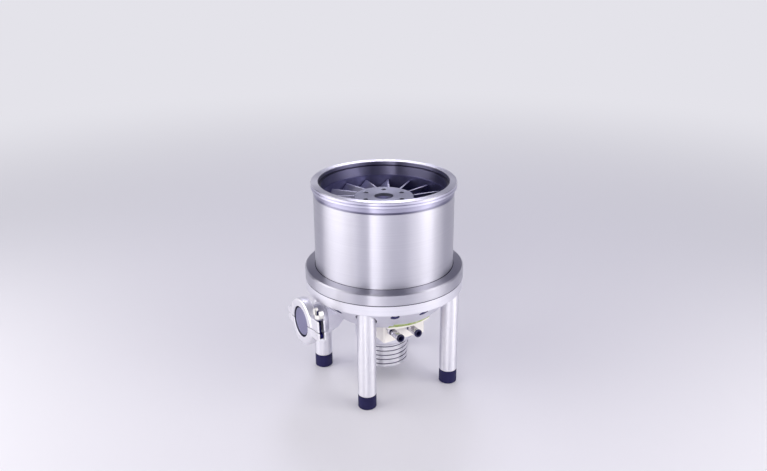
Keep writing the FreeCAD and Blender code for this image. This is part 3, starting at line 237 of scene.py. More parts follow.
def turned_metal(name, colour, dark, roughness, mark_width, spread, zones=()):
    """Metal turned about the pump's axis: fine rings of tone and roughness, drawn wider
    than the tool's feed of 0.2 mm so that they show. Each zone is a colour with the radii
    and heights that it holds."""
    material, tree = new_material(name)
    place, radius, height = turning(tree)
    along = add(tree, "ShaderNodeMath", {0: radius, 1: height}, operation="ADD")
    across_marks = add(tree, "ShaderNodeMath", {0: along.outputs["Value"], 1: 1 / mark_width},
                       operation="MULTIPLY")
    drift = add(tree, "ShaderNodeVectorMath", {0: place, "Scale": 3.0}, operation="SCALE")
    parts = add(tree, "ShaderNodeSeparateXYZ", {"Vector": drift.outputs["Vector"]})
    rings = add(tree, "ShaderNodeCombineXYZ", {
        "X": parts.outputs["X"], "Y": parts.outputs["Y"], "Z": across_marks.outputs["Value"]})
    marks = add(tree, "ShaderNodeTexNoise", {
        "Vector": rings.outputs["Vector"], "Scale": 1.0, "Detail": 3.0, "Roughness": 0.6})
    tone = add(tree, "ShaderNodeMix", {
        "Factor": marks.outputs["Fac"], 6: linear(colour), 7: linear(dark)}, data_type="RGBA")
    for code, *region in zones:
        tone = add(tree, "ShaderNodeMix", {
            "Factor": zone(tree, radius, height, *region), 6: tone.outputs[2],
            7: linear(code)}, data_type="RGBA")
    rough = add(tree, "ShaderNodeMapRange", {
        "Value": marks.outputs["Fac"], "To Min": roughness * 0.85, "To Max": roughness * 1.2})
    bump = add(tree, "ShaderNodeBump", {
        "Height": marks.outputs["Fac"], "Strength": 0.15, "Distance": mark_width * 0.1})
    around = add(tree, "ShaderNodeTangent", direction_type="RADIAL", axis="Z")
    finish_surface(tree, {
        "Base Color": tone.outputs[2], "Metallic": 1.0, "Roughness": rough.outputs["Result"],
        "Anisotropic": spread, "Anisotropic Rotation": 0.25,
        "Tangent": around.outputs["Tangent"],
        "Normal": bump.outputs["Normal"]})
    return material


def dress(material, *names):
    """Gives CAD pieces their finish."""
    for name in names:
        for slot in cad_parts[name].material_slots:
            slot.material = material


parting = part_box("inlet_casing")[0].z
shoulder = parting + 25.4 * MM
body_radius = 140.7 * MM
lower_flange_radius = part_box("inlet_casing")[1].x
bore_radius = 131.2 * MM
rim_bottom, rim_outside = -12.2 * MM, 145.5 * MM
chamfer_end = -1.2 * MM
# The sealing face on top is painted near white: a painted highlight.
sealing_face_highlight = ("#F6F5FF", (bore_radius, 146 * MM), (-0.2 * MM, 0.2 * MM))
# The bore is painted darker: painted shade.
bore = ("#84829F", (0, bore_radius), (-0.3, chamfer_end))
# Painted shade under the flange: on the claw neck and on the rim's lower corner.
claw_neck_shade = ("#A9A7BE", (136.0 * MM, 140.3 * MM), (-24.5 * MM, rim_bottom))
rim = ("#C6C4D8", (143.5 * MM, rim_outside), (rim_bottom, chamfer_end))
rim_corner_shade = ("#A3A1BA", (139.5 * MM, rim_outside), (rim_bottom - MM, rim_bottom + MM))
# Painted shade as dark lines: the step in the bore, the groove at the body's shoulder, the
# groove round the rim and the seam at the parting.
bore_step_shade = ("#2E2B45", (124.0 * MM, bore_radius), (-8.6 * MM, -7.4 * MM))
shoulder_corner_shade = ("#5B596F", (body_radius - 0.3 * MM, body_radius + 1.5 * MM),
                   (shoulder - 1.6 * MM, shoulder + 0.3 * MM))
rim_line_shade = ("#B9B7CC", (144.0 * MM, rim_outside), (-7.2 * MM, -4.8 * MM))
casing_seam_shade = ("#3B3950", (lower_flange_radius - MM, lower_flange_radius + MM),
               (parting - MM, parting + 1.1 * MM))
casing_metal = turned_metal(
    "turned_aluminium", "#C8C7D1", "#BAB9C5", roughness=0.3, mark_width=1.4 * MM, spread=0.97,
    zones=(sealing_face_highlight, bore, claw_neck_shade, rim, rim_corner_shade, bore_step_shade, shoulder_corner_shade,
           rim_line_shade, casing_seam_shade))
dress(casing_metal, "inlet_casing")

# Base: the cast and machined aluminium housing with its cone, and the motor's hub and
# the foreline tube on it. The seam below the casing and the recesses in the cone's flank
# are painted dark as painted shade. The sump's cover below is turned bright, and its
# grooved face is painted darker as painted shade.
cone_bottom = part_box("thermal_pad")[0].z
flank_bottom, flank_top, flank_height = 108.6 * MM, 159.5 * MM, 50.8 * MM
# Painted shade in the recesses of the cone's flank and in the seam below the casing.
cone_pocket_shade = ("#3C3962", (0.02, flank_bottom - 0.35 * MM),
           (cone_bottom + 0.6 * MM, cone_bottom + flank_height - 0.2 * MM),
           (flank_top - flank_bottom) / flank_height)
base_seam_shade = ("#3B3950", (lower_flange_radius - 2.2 * MM, lower_flange_radius + MM),
             (parting - 0.9 * MM, parting + MM))
base_metal = turned_metal(
    "machined_cast_aluminium", "#E9E8F0", "#DDDCE7", roughness=0.5, mark_width=2.0 * MM,
    spread=0.3, zones=(cone_pocket_shade, base_seam_shade))
dress(base_metal, "base_housing")
hub_metal = turned_metal(
    "machined_hub_aluminium", "#E9E8F0", "#DDDCE7", roughness=0.5, mark_width=2.0 * MM,
    spread=0.3)
dress(hub_metal, "motor_housing", "foreline_port", "bearing_carrier")
sump_radius = 48.5 * MM
# The sump's grooved face is painted darker: painted shade.
sump_face_shade = ("#8A889C", (0, sump_radius - 0.4 * MM), (-0.5, 0))
sump_metal = turned_metal(
    "turned_sump_aluminium", "#F2F1F5", "#E4E3EB", roughness=0.36, mark_width=1.2 * MM,
    spread=0.5, zones=(sump_face_shade,))
dress(sump_metal, "sump_cover")


# Legs: bright turned aluminium posts, held by zinc-plated steel studs. Their feed marks
# run round them too, so they show upright streaks of light. The grain is drawn coarser
# than it is, as it would be too fine to show.
def plain_metal(name, colour, dark, roughness, grain, depth=0.1, axis=None, spread=0.0):
    """Metal with a fine even grain, and marks running round an axis where one is given."""
    material, tree = new_material(name)
    place = add(tree, "ShaderNodeTexCoord")
    marks = add(tree, "ShaderNodeTexNoise", {
        "Vector": place.outputs["Object"], "Scale": 1 / grain, "Detail": 4.0, "Roughness": 0.6})
    cloud = add(tree, "ShaderNodeTexNoise", {
        "Vector": place.outputs["Object"], "Scale": 0.08 / grain, "Detail": 2.0})
    tone = add(tree, "ShaderNodeMix", {
        "Factor": cloud.outputs["Fac"], 6: linear(colour), 7: linear(dark)}, data_type="RGBA")
    rough = add(tree, "ShaderNodeMapRange", {
        "Value": marks.outputs["Fac"], "To Min": roughness * 0.8, "To Max": roughness * 1.25})
    bump = add(tree, "ShaderNodeBump", {
        "Height": marks.outputs["Fac"], "Strength": depth, "Distance": grain * 0.1})
    sockets = {"Base Color": tone.outputs[2], "Metallic": 1.0,
               "Roughness": rough.outputs["Result"], "Normal": bump.outputs["Normal"]}
    if axis:
        around = add(tree, "ShaderNodeTangent", direction_type="RADIAL", axis=axis)
        sockets.update({"Anisotropic": spread, "Anisotropic Rotation": 0.25,
                        "Tangent": around.outputs["Tangent"]})
    finish_surface(tree, sockets)
    return material


legs = ("rear", "left", "front", "right")
leg_metal = plain_metal("satin_turned_bar", "#EEEDF3", "#E3E2EB", roughness=0.42,
                        grain=0.8 * MM, axis="Z", spread=0.7)
dress(leg_metal, *[f"leg_{leg}" for leg in legs])
stud_steel = plain_metal("zinc_plated_steel", "#C9C8CE", "#AFAEB6", roughness=0.32,
                         grain=0.6 * MM)
dress(stud_steel, "leg_studs", "foot_studs")


# Feet: moulded rubber, dark navy, screwed to the legs, with a faint bloom on the skin.
# Its grain is that of the mould, drawn a little coarse. The seals are rubber too.
def soft_finish(name, colour, second, roughness, grain, depth, cloud=20.0, specular=0.5,
                coat=0.0):
    """Rubber, plastic or paint: a cloudy colour and a fine skin. The cloud is how many
    patches of colour go to a metre."""
    material, tree = new_material(name)
    place = add(tree, "ShaderNodeTexCoord")
    patches = add(tree, "ShaderNodeTexNoise", {
        "Vector": place.outputs["Object"], "Scale": cloud, "Detail": 3.0, "Roughness": 0.55})
    steps = add(tree, "ShaderNodeMapRange", {
        "Value": patches.outputs["Fac"], "From Min": 0.35, "From Max": 0.65})
    skin = add(tree, "ShaderNodeTexNoise", {
        "Vector": place.outputs["Object"], "Scale": 1 / grain, "Detail": 3.0})
    tone = add(tree, "ShaderNodeMix", {
        "Factor": steps.outputs["Result"], 6: linear(colour), 7: linear(second)},
        data_type="RGBA")
    rough = add(tree, "ShaderNodeMapRange", {
        "Value": skin.outputs["Fac"], "To Min": roughness * 0.85, "To Max": roughness * 1.15})
    bump = add(tree, "ShaderNodeBump", {
        "Height": skin.outputs["Fac"], "Strength": depth, "Distance": grain * 0.2})
    finish_surface(tree, {
        "Base Color": tone.outputs[2], "Roughness": rough.outputs["Result"],
        "Specular IOR Level": specular, "Coat Weight": coat,
        "Normal": bump.outputs["Normal"]})
    return material


foot_rubber = soft_finish("moulded_rubber", "#15123E", "#1F1C4C", roughness=0.55,
                          grain=0.7 * MM, depth=0.3, specular=0.25)
dress(foot_rubber, *[f"foot_{leg}" for leg in legs])
seal_rubber = soft_finish("fluoroelastomer", "#241F24", "#302A30", roughness=0.5,
                          grain=0.5 * MM, depth=0.2)
dress(seal_rubber, "casing_seal", "foreline_seal")


# Thermal pad: soft yellow-green silicone pressed between the base and the cooling
# block, so its edge bulges, and its colour is lighter in random patches. The bulge is a
# lip that runs up the cone's flank, uneven as the pad was squeezed.
def finish_piece(mesh, name, material, body, sharp=35):
    """Makes an object of a mesh, with its finish, and lets it ride on its body."""
    bmesh.ops.recalc_face_normals(mesh, faces=mesh.faces)
    data = bpy.data.meshes.new(name)
    mesh.to_mesh(data)
    mesh.free()
    data.materials.append(material)
    for face in data.polygons:
        face.use_smooth = True
    data.set_sharp_from_angle(angle=math.radians(sharp))
    piece = bpy.data.objects.new(name, data)
    bpy.context.scene.collection.objects.link(piece)
    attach(piece, body)
    return piece


def join_rings(mesh, rings, closed=True):
    """Skins a row of rings of points, each a whole circle or a single point."""
    pairs = list(zip(rings, rings[1:]))
    if closed:
        pairs.append((rings[-1], rings[0]))
    for one, other in pairs:
        for i in range(max(len(one), len(other))):
            corners = [one[i % len(one)], one[(i + 1) % len(one)],
                       other[(i + 1) % len(other)], other[i % len(other)]]
            corners = list(dict.fromkeys(corners))
            if len(corners) > 2:
                mesh.faces.new(corners)


pad_silicone = soft_finish("gap_pad_silicone", "#8DA43C", "#C6CDA4", roughness=0.62,
                           grain=0.5 * MM, depth=0.4, cloud=60.0)
dress(pad_silicone, "thermal_pad")
pad_start, pad_end, pad_steps = 248.5, 285.0, 80
taper_steps = 8
lift_height, lift_angle = 5.0, 22
lip_outline = ((108.6, 0.0, 0), (109.2, -0.6, 0), (109.8, -0.5, 0.5), (110.2, 0.6, 1),
               (111.7, 2.2, 1), (113.3, 3.9, 1), (114.5, 5.2, 0.6), (114.7, 6.0, 0),
               (113.2, 5.8, 0))
mesh = bmesh.new()
rings = []
for step in range(pad_steps + 1):
    angle = pad_start + (pad_end - pad_start) * step / pad_steps
    taper = min(1.0, step / taper_steps, (pad_steps - step) / taper_steps)
    swell = taper * (1.0 + 0.4 * math.sin(angle * 0.9) + 0.3 * math.sin(angle * 2.3 + 1))
    lift = lift_height * max(0.0, 1 - (angle - pad_start) / lift_angle) ** 1.5
    outward = Vector((math.cos(math.radians(angle)), math.sin(math.radians(angle)), 0))
    ring = []
    for reach, level, swelling in lip_outline:
        ring.append(mesh.verts.new(
            outward * ((reach + swell * swelling + lift) * MM)
            + Vector((0, 0, cone_bottom + (level + lift) * MM))))
    rings.append(ring)
join_rings(mesh, rings, closed=False)
mesh.faces.new(rings[0])
mesh.faces.new(rings[-1])
finish_piece(mesh, "thermal_pad_edge", pad_silicone, "pump", sharp=60)

# Cooling block: aluminium, painted cream in a smooth semi-gloss that shows a faint
# orange peel. It is screwed up against the pad with two screws.
cooling_paint = soft_finish("cream_stove_enamel", "#FAF6F0", "#F4F0EA", roughness=0.36,
                            grain=1.6 * MM, depth=0.25, cloud=14.0, coat=0.3)
dress(cooling_paint, "cooling_block")

# Screws: stainless socket head screws, cold formed, with knurled heads and hexagon
# sockets. Their steel is a shade darker and glossier than the metal round them.
DOWN = Matrix.Rotation(math.pi, 4, "X")
screw_steel = plain_metal("stainless_screw_steel", "#B9B9C2", "#9A9AA6", roughness=0.3,
                          grain=0.5 * MM)


def turned_ring(mesh, place, radius, height, count, sides=0, knurl=0.0):
    """One circle of points about the local Z axis: sides makes it a polygon whose flats
    stand at the radius, and knurl moves every other point in."""
    if radius == 0:
        return [mesh.verts.new(place @ Vector((0, 0, height)))]
    points = []
    for i in range(count):
        angle = 2 * math.pi * i / count
        reach = radius
        if sides:
            half = math.pi / sides
            reach = radius / math.cos((angle + half) % (2 * half) - half)
        reach -= knurl * (i % 2)
        points.append(mesh.verts.new(
            place @ Vector((reach * math.cos(angle), reach * math.sin(angle), height))))
    return points


def lathe(mesh, place, outline, count=48):
    """Turns a closed outline about the local Z axis. A corner is a radius and a height,
    with the number of sides and the knurl's depth where it has them."""
    join_rings(mesh, [turned_ring(mesh, place, corner[0], corner[1], count, *corner[2:])
                      for corner in outline])


def socket_head(mesh, place, head, height, socket):
    """The head of a socket screw: its seat is at local zero and its top up the Z axis. The
    head is given by its radius, and the socket by half its width across flats."""
    edge = 0.12 * head
    knurl = 0.03 * head
    lathe(mesh, place, [
        (0, 0), (head - edge / 2, 0), (head, edge / 2, 0, knurl),
        (head, height - edge, 0, knurl),
        (head - edge / 2, height - edge / 3), (head - edge, height),
        (socket * 1.18, height), (socket, height - edge / 2, 6), (socket, height * 0.42, 6),
        (socket * 0.9, height * 0.38, 6), (0, height * 0.3)])


def ring_places(circle, angles, level, turn=None):
    """Places on a circle about the pump's axis."""
    return [Matrix.Translation((circle * math.cos(math.radians(angle)),
                                circle * math.sin(math.radians(angle)), level))
            @ (turn or Matrix()) for angle in angles]


def screw_set(name, places, head, height, socket, body="pump"):
    """A set of screws that stands for its CAD node."""
    mesh = bmesh.new()
    for place in places:
        socket_head(mesh, place, head, height, socket)
    piece = finish_piece(mesh, name + "_heads", screw_steel, body)
    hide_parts(name)


quarter_angles = (45, 135, 225, 315)
casing_screw_angles = [step * 22.5 for step in range(16)
                       if step * 22.5 not in quarter_angles + (90, 180)]
casing_screw_level = parting - 16.6 * MM
screw_set("casing_screws",
          ring_places(151 * MM, casing_screw_angles, casing_screw_level, DOWN),
          head=6.5 * MM, height=8 * MM, socket=3 * MM)
plate_screw_angles = [angle for angle in range(0, 360, 30) if angle not in (240, 270, 300)]
screw_set("plate_screws",
          ring_places(98.3 * MM, plate_screw_angles, cone_bottom, DOWN),
          head=5 * MM, height=6 * MM, socket=2.5 * MM)
sump_screw_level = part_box("sump_cover")[0].z + 4 * MM
screw_set("sump_screws",
          ring_places(42 * MM, quarter_angles, sump_screw_level, DOWN),
          head=3.5 * MM, height=4 * MM, socket=1.5 * MM)
cooling_screw_x, cooling_screw_y = 43.5 * MM, -90 * MM
screw_set("cooling_screws",
          [Matrix.Translation((x, cooling_screw_y, cone_bottom - 5 * MM)) @ DOWN
           for x in (-cooling_screw_x, cooling_screw_x)],
          head=4.25 * MM, height=4.2 * MM, socket=2 * MM)
rotor_screw_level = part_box("rotor_bell")[1].z - 8 * MM
screw_set("rotor_screws",
          ring_places(41.5 * MM, range(0, 360, 60), rotor_screw_level),
          head=4.9 * MM, height=5 * MM, socket=2.5 * MM, body="rotor")


# Hose fittings: push-in fittings of nickel-plated brass with a chamfered hexagon, screwed
# into the cooling block, with a dark sealing sleeve behind the hexagon and a dark plastic
# release collar in the mouth.
def in_mm(*outline):
    """An outline for the lathe, written in millimetres."""
    return [(radius * MM, height * MM, *rest) for radius, height, *rest in outline]


TO_MINUS_Y = Matrix.Rotation(math.pi / 2, 4, "X")
fitting_nickel = plain_metal("nickel_plated_brass", "#E2E0E8", "#CBC9D4", roughness=0.24,
                             grain=0.9 * MM, depth=0.04, axis="Y", spread=0.4)
collar_plastic = soft_finish("glass_filled_nylon", "#110E38", "#1B184A", roughness=0.3,
                             grain=0.6 * MM, depth=0.25)
block_front = -81 * MM
fitting_level = -288.6 * MM
fitting_length = 39 * MM
for side, x in (("left", -34.5 * MM), ("right", 6.5 * MM)):
    root = Matrix.Translation((x, block_front, fitting_level)) @ TO_MINUS_Y
    mesh = bmesh.new()
    lathe(mesh, root, in_mm(
        (3.5, 0), (7.0, 0), (7.5, 0.8, 6), (7.5, 7.2, 6), (7.0, 8), (6.3, 8.4), (6.3, 13.6),
        (6.9, 14.2), (7.4, 15.2), (7.4, 20.2), (7.0, 20.6), (7.0, 21.8), (7.4, 22.2),
        (7.4, 35.4), (7.1, 36.6), (6.8, 37), (6.4, 37), (6.35, 25), (5.05, 25), (5.05, 14),
        (3.5, 14)), count=72)
    body = finish_piece(mesh, f"hose_fitting_body_{side}", fitting_nickel, "pump",
                        sharp=28)
    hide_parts(f"hose_fitting_{side}")
    mesh = bmesh.new()
    lathe(mesh, root, in_mm(
        (6.32, 8.5), (7.1, 8.9), (7.35, 9.8), (7.35, 12.4), (7.1, 13.2), (6.32, 13.55)))
    finish_piece(mesh, f"fitting_sleeve_{side}", collar_plastic, "pump")
    mesh = bmesh.new()
    end = Matrix.Translation((x, block_front - fitting_length, fitting_level)) @ TO_MINUS_Y
    lathe(mesh, end, in_mm(
        (5.05, -9), (6.27, -9), (6.27, 0), (7.5, 0), (8.1, 0.3), (8.2, 0.8), (8.2, 2.9),
        (8.0, 3.6), (7.4, 4.05), (6.8, 4.2), (6.2, 4.1), (5.5, 3.6), (5.15, 2.9),
        (5.05, 2.0)), count=64)
    collar = finish_piece(mesh, f"release_ring_{side}", collar_plastic, f"collar_{side}",
                          sharp=50)
    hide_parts(f"release_collar_{side}")


# Foreline blank: the stainless steel disc that closes the port, held by the clamp, and
# the centring ring behind it. Its face keeps the rings of the lathe tool, drawn wider
# than they are, and the groove round it is painted dark as painted shade.
def faced_metal(name, colour, dark, roughness, centre, mark_width, edge, groove_shade_colour):
    """Metal faced on a lathe about a line along X: rings of tone on its face, and painted
    shade outside its edge, where the groove round it lies."""
    material, tree = new_material(name)
    place = add(tree, "ShaderNodeTexCoord")
    offset = add(tree, "ShaderNodeVectorMath", {0: place.outputs["Object"], 1: centre},
                 operation="SUBTRACT")
    flat = add(tree, "ShaderNodeVectorMath", {0: offset.outputs["Vector"], 1: (0.0, 1.0, 1.0)},
               operation="MULTIPLY")
    radius = add(tree, "ShaderNodeVectorMath", {0: flat.outputs["Vector"]}, operation="LENGTH")
    drift = add(tree, "ShaderNodeSeparateXYZ", {"Vector": offset.outputs["Vector"]})
    scaled = add(tree, "ShaderNodeMath", {0: radius.outputs["Value"], 1: 1 / mark_width},
                 operation="MULTIPLY")
    rings = add(tree, "ShaderNodeCombineXYZ", {
        "X": scaled.outputs["Value"], "Y": drift.outputs["Y"], "Z": drift.outputs["Z"]})
    marks = add(tree, "ShaderNodeTexNoise", {
        "Vector": rings.outputs["Vector"], "Scale": 1.0, "Detail": 3.0, "Roughness": 0.6})
    tone = add(tree, "ShaderNodeMix", {
        "Factor": marks.outputs["Fac"], 6: linear(colour), 7: linear(dark)}, data_type="RGBA")
    outside = add(tree, "ShaderNodeMath", {0: radius.outputs["Value"], 1: edge},
                  operation="GREATER_THAN")
    tone = add(tree, "ShaderNodeMix", {
        "Factor": outside.outputs["Value"], 6: tone.outputs[2], 7: linear(groove_shade_colour)},
        data_type="RGBA")
    bump = add(tree, "ShaderNodeBump", {
        "Height": marks.outputs["Fac"], "Strength": 0.2, "Distance": mark_width * 0.1})
    around = add(tree, "ShaderNodeTangent", direction_type="RADIAL", axis="X")
    finish_surface(tree, {
        "Base Color": tone.outputs[2], "Metallic": 1.0, "Roughness": roughness,
        "Anisotropic": 0.4, "Anisotropic Rotation": 0.25, "Tangent": around.outputs["Tangent"],
        "Normal": bump.outputs["Normal"]})
    return material


TO_MINUS_X = Matrix.Rotation(-math.pi / 2, 4, "Y")
port_centre = Vector((-183 * MM, 0, -263.6 * MM))
seal_gap = 3.9 * MM
# Painted shade in the groove outside the blank's edge.
blank_steel = faced_metal(
    "faced_stainless_steel", "#9F9DBE", "#807EA0", roughness=0.34, centre=port_centre,
    mark_width=1.6 * MM, edge=28.0 * MM, groove_shade_colour="#1C1850")
dress(blank_steel, "centring_ring")
blank_face = port_centre.x - seal_gap / 2
mesh = bmesh.new()
lathe(mesh, Matrix.Translation((blank_face, 0, port_centre.z)) @ TO_MINUS_X, in_mm(
    (0, 2.8), (26.1, 2.8), (26.1, 0), (36.9, 0), (37.5, 0.5), (37.5, 2.2), (31, 3.2),
    (28.6, 3.2), (28.2, 5.3), (27.9, 5.5), (0, 5.5)), count=128)
blank = finish_piece(mesh, "blank_plate", blank_steel, "pump", sharp=30)
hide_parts("blank_flange")


# Clamp: two halves, a hinge link and the wing nut, pressure die cast in aluminium and
# tumbled, so every edge is rounded and the skin is a little uneven. The upper half hinges
# on the link's pins, and the nut on the swing bolt closes it.
def cast_metal(name, colour, dark, roughness):
    """Tumbled die-cast metal, with 1.4 mm grains in its skin, drawn coarser than they are,
    and 14 mm flow marks in its tone."""
    material, tree = new_material(name)
    place = add(tree, "ShaderNodeTexCoord")
    skin = add(tree, "ShaderNodeTexNoise", {
        "Vector": place.outputs["Object"], "Scale": 700.0, "Detail": 4.0, "Roughness": 0.65})
    flow = add(tree, "ShaderNodeTexNoise", {
        "Vector": place.outputs["Object"], "Scale": 70.0, "Detail": 3.0})
    tone = add(tree, "ShaderNodeMix", {
        "Factor": flow.outputs["Fac"], 6: linear(colour), 7: linear(dark)}, data_type="RGBA")
    rough = add(tree, "ShaderNodeMapRange", {
        "Value": skin.outputs["Fac"], "To Min": roughness * 0.8, "To Max": roughness * 1.2})
    bump = add(tree, "ShaderNodeBump", {
        "Height": skin.outputs["Fac"], "Strength": 0.25, "Distance": 0.12 * MM})
    finish_surface(tree, {
        "Base Color": tone.outputs[2], "Metallic": 1.0, "Roughness": rough.outputs["Result"],
        "Normal": bump.outputs["Normal"]})
    return material


def cast_copy(node, name, material, body, grain, rounds):
    """A copy of a CAD piece with its edges rounded as tumbling leaves them, and its skin
    drawn in by a hair so that it clears its neighbours."""
    rough_cast = bpy.data.objects.new(name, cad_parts[node].data.copy())
    bpy.context.scene.collection.objects.link(rough_cast)
    weld = rough_cast.modifiers.new("weld", "WELD")
    weld.merge_threshold = 0.01 * MM
    remesh = rough_cast.modifiers.new("remesh", "REMESH")
    remesh.mode, remesh.voxel_size = "VOXEL", grain
    smooth = rough_cast.modifiers.new("smooth", "SMOOTH")
    smooth.factor, smooth.iterations = 0.5, rounds
    clearance = rough_cast.modifiers.new("clearance", "DISPLACE")
    clearance.mid_level, clearance.strength = 0.0, -0.25 * MM
    shape = bpy.data.meshes.new_from_object(
        rough_cast.evaluated_get(bpy.context.evaluated_depsgraph_get()))
    bpy.data.objects.remove(rough_cast)
    mesh = bmesh.new()
    mesh.from_mesh(shape)
    bpy.data.meshes.remove(shape)
    piece = finish_piece(mesh, name, material, body, sharp=70)
    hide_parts(node)
    return piece


clamp_metal = cast_metal("die_cast_aluminium", "#F3F2F6", "#E2E1E9", roughness=0.45)
cast_copy("clamp_upper", "clamp_jaw_upper", clamp_metal, "clamp_top", grain=0.7 * MM, rounds=4)
cast_copy("clamp_lower", "clamp_jaw_lower", clamp_metal, "pump", grain=0.7 * MM, rounds=4)
cast_copy("clamp_link", "clamp_hinge_link", clamp_metal, "pump", grain=0.5 * MM, rounds=3)
dress(clamp_metal, "clamp_bolt_pin", "clamp_link_pins")
nut_metal = cast_metal("tumbled_cast_nut", "#F2F1EE", "#DFDEDA", roughness=0.4)
nut = cast_copy("wing_nut", "wing_nut_cast", nut_metal, "nut", grain=0.45 * MM, rounds=4)

# The nut's wings, drawn thicker and lower than the CAD's. The clamp is turned a little
# about the port, and the bolt, the washer and the nut stand on one line beside it.
clamp_place = Matrix.Translation(port_centre) @ Matrix.Rotation(math.radians(-5), 4, "X")
bolt_line = -67 * MM
nut_level, washer_level, eye_level = 26.7 * MM, 25.1 * MM, -9 * MM
nut_seat = clamp_place @ Matrix.Translation((0, bolt_line, nut_level))
into_nut = nut_seat.inverted()
wing_root, wing_blend, wing_level = 7 * MM, 3 * MM, 6 * MM
wing_thicker, wing_lower = 0.5, 0.3
for vertex in nut.data.vertices:
    spot = into_nut @ vertex.co
    spot.x *= 1 + wing_thicker * min(1.0, max(0.0, (abs(spot.y) - wing_root) / wing_blend))
    spot.z -= wing_lower * max(0.0, spot.z - wing_level)
    vertex.co = nut_seat @ spot

# Swing bolt: a steel eye bolt with a rolled thread, forged and hung on a pin in the
# clamp's lower half, and the stamped washer on it. The bolt is painted nearly black:
# painted shade for the slot it stands in.
bolt_steel = plain_metal("dark_bolt_steel_painted_shade", "#211D52", "#17143C", roughness=0.5,
                         grain=0.4 * MM)
bolt_eye = clamp_place @ Matrix.Translation((0, bolt_line, eye_level))
across_eye = Matrix.Rotation(math.pi / 2, 4, "Y")
shank_start, shank_radius = 5 * MM, 3.0 * MM
thread_start, thread_end, thread_pitch = 22 * MM, 50 * MM, 1.25 * MM
thread_crest, thread_root, tip_radius = 3.3 * MM, 2.7 * MM, 2.4 * MM
thread_sides, rows_in_pitch = 32, 6
row_count = round((thread_end - thread_start) / thread_pitch * rows_in_pitch)
mesh = bmesh.new()
rings = [turned_ring(mesh, bolt_eye, radius, height, thread_sides) for radius, height in (
    (0, shank_start), (shank_radius, shank_start), (shank_radius, thread_start - MM))]
for row in range(row_count + 1):
    level = thread_start + row * thread_pitch / rows_in_pitch
    ring = []
    for i in range(thread_sides):
        turn = (row / rows_in_pitch - i / thread_sides) % 1
        reach = thread_root + (thread_crest - thread_root) * abs(1 - 2 * turn)
        angle = 2 * math.pi * i / thread_sides
        ring.append(mesh.verts.new(bolt_eye @ Vector(
            (reach * math.cos(angle), reach * math.sin(angle), level))))
    rings.append(ring)
rings += [turned_ring(mesh, bolt_eye, radius, thread_end + MM, thread_sides)
          for radius in (tip_radius, 0)]
join_rings(mesh, rings, closed=False)
lathe(mesh, bolt_eye @ across_eye, in_mm(
    (3.06, -4.1), (6.3, -4.1), (6.9, -3.6), (7.0, -3.0), (7.0, 3.0), (6.9, 3.6), (6.3, 4.1),
    (3.06, 4.1)))
bolt = finish_piece(mesh, "swing_bolt", bolt_steel, "bolt", sharp=40)
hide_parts("clamp_bolt")
washer_steel = plain_metal("stamped_washer_steel", "#8F8DA0", "#77758A", roughness=0.34,
                           grain=0.5 * MM)
mesh = bmesh.new()
lathe(mesh, clamp_place @ Matrix.Translation((0, bolt_line, washer_level)), in_mm(
    (4.08, 0), (8.3, 0), (8.5, 0.3), (8.5, 1.1), (8.2, 1.6), (4.08, 1.6)), count=64)
washer = finish_piece(mesh, "flat_washer", washer_steel, "washer")
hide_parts("clamp_washer")

# Rotor: the bell's head and the bladed discs, machined from aluminium, with the flanks
# of the blades milled. The bell is painted a darker grey than the casing and its head's
# recess a dark violet, both painted shade for their depth in the bore.
# The head's recess is painted dark violet: painted shade.
head_recess_shade = ("#5C5A80", (0, 18.9 * MM), (-0.06, -34.5 * MM))
rotor_shaded_metal = turned_metal(
    "machined_aluminium_painted_shade", "#A3A4AF", "#93949F", roughness=0.42, mark_width=1.6 * MM,
    spread=0.3, zones=(head_recess_shade,))
dress(rotor_shaded_metal, "rotor_bell")
blade_metal = plain_metal("milled_blade_aluminium", "#DADAE4", "#C3C3D2", roughness=0.38,
                          grain=0.9 * MM, depth=0.2)
dress(blade_metal, *[f"rotor_disc_{stage}" for stage in range(1, 6)])

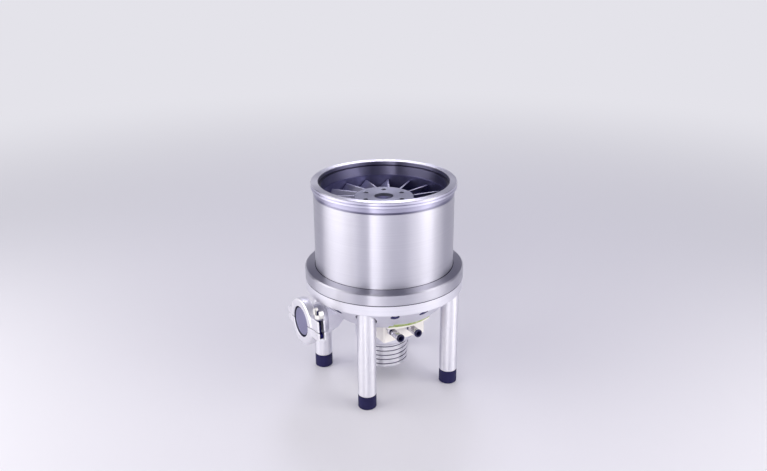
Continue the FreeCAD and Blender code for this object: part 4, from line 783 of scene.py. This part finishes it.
# Stator: discs of aluminium sheet and the rings that space them in the bore. They are
# painted a dark violet, painted shade for the depths between the rotor's blades.
stator_shade_metal = plain_metal("stator_sheet_painted_shade", "#807EA6", "#6B6991", roughness=0.4,
                           grain=0.9 * MM, depth=0.2)
dress(stator_shade_metal, "stack_spacer", *[f"stator_disc_{stage}" for stage in range(1, 5)])

# Shaft, bearings and motor: a ground steel shaft in ball bearings, with the motor's
# magnet in a plated sleeve on it and the varnished windings round that.
# The shaft is painted dark violet: painted shade for its nose, deep in the head's recess.
shaft_shade_steel = plain_metal("ground_shaft_steel", "#5E5C7E", "#504E6E", roughness=0.4,
                          grain=0.5 * MM, axis="Z", spread=0.5)
dress(shaft_shade_steel, "rotor_shaft")
bearing_steel = plain_metal("ground_bearing_steel", "#C4C3CA", "#B2B1BA", roughness=0.14,
                            grain=0.4 * MM)
dress(bearing_steel, "bearing_outer_rings", "bearing_inner_rings", "bearing_balls")
magnet_nickel = plain_metal("plated_magnet_sleeve", "#B4B3B6", "#A2A1A6", roughness=0.22,
                            grain=0.5 * MM)
dress(magnet_nickel, "motor_magnet")
varnished_iron = soft_finish("varnished_iron_and_copper", "#4A342A", "#5C4032",
                             roughness=0.4, grain=0.8 * MM, depth=0.4)
dress(varnished_iron, "motor_stator")

# Power connector: a plated receptacle on a square flange at the back, held by four small
# screws, with gold-flashed pins.
TO_PLUS_Y = Matrix.Rotation(-math.pi / 2, 4, "X")
connector_metal = plain_metal("plated_receptacle", "#B9B8C4", "#A3A2B0", roughness=0.3,
                              grain=0.7 * MM, axis="Y", spread=0.4)
dress(connector_metal, "power_connector")
contact_gold = plain_metal("gold_flashed_brass", "#D9B766", "#C9A655", roughness=0.22,
                           grain=0.4 * MM)
dress(contact_gold, "connector_contacts")
connector_front, connector_level, screw_spread = 141 * MM, -244 * MM, 15.2 * MM
screw_set("connector_screws",
          [Matrix.Translation((x, connector_front, connector_level + z)) @ TO_PLUS_Y
           for x in (-screw_spread, screw_spread) for z in (-screw_spread, screw_spread)],
          head=2.75 * MM, height=3 * MM, socket=1.25 * MM)
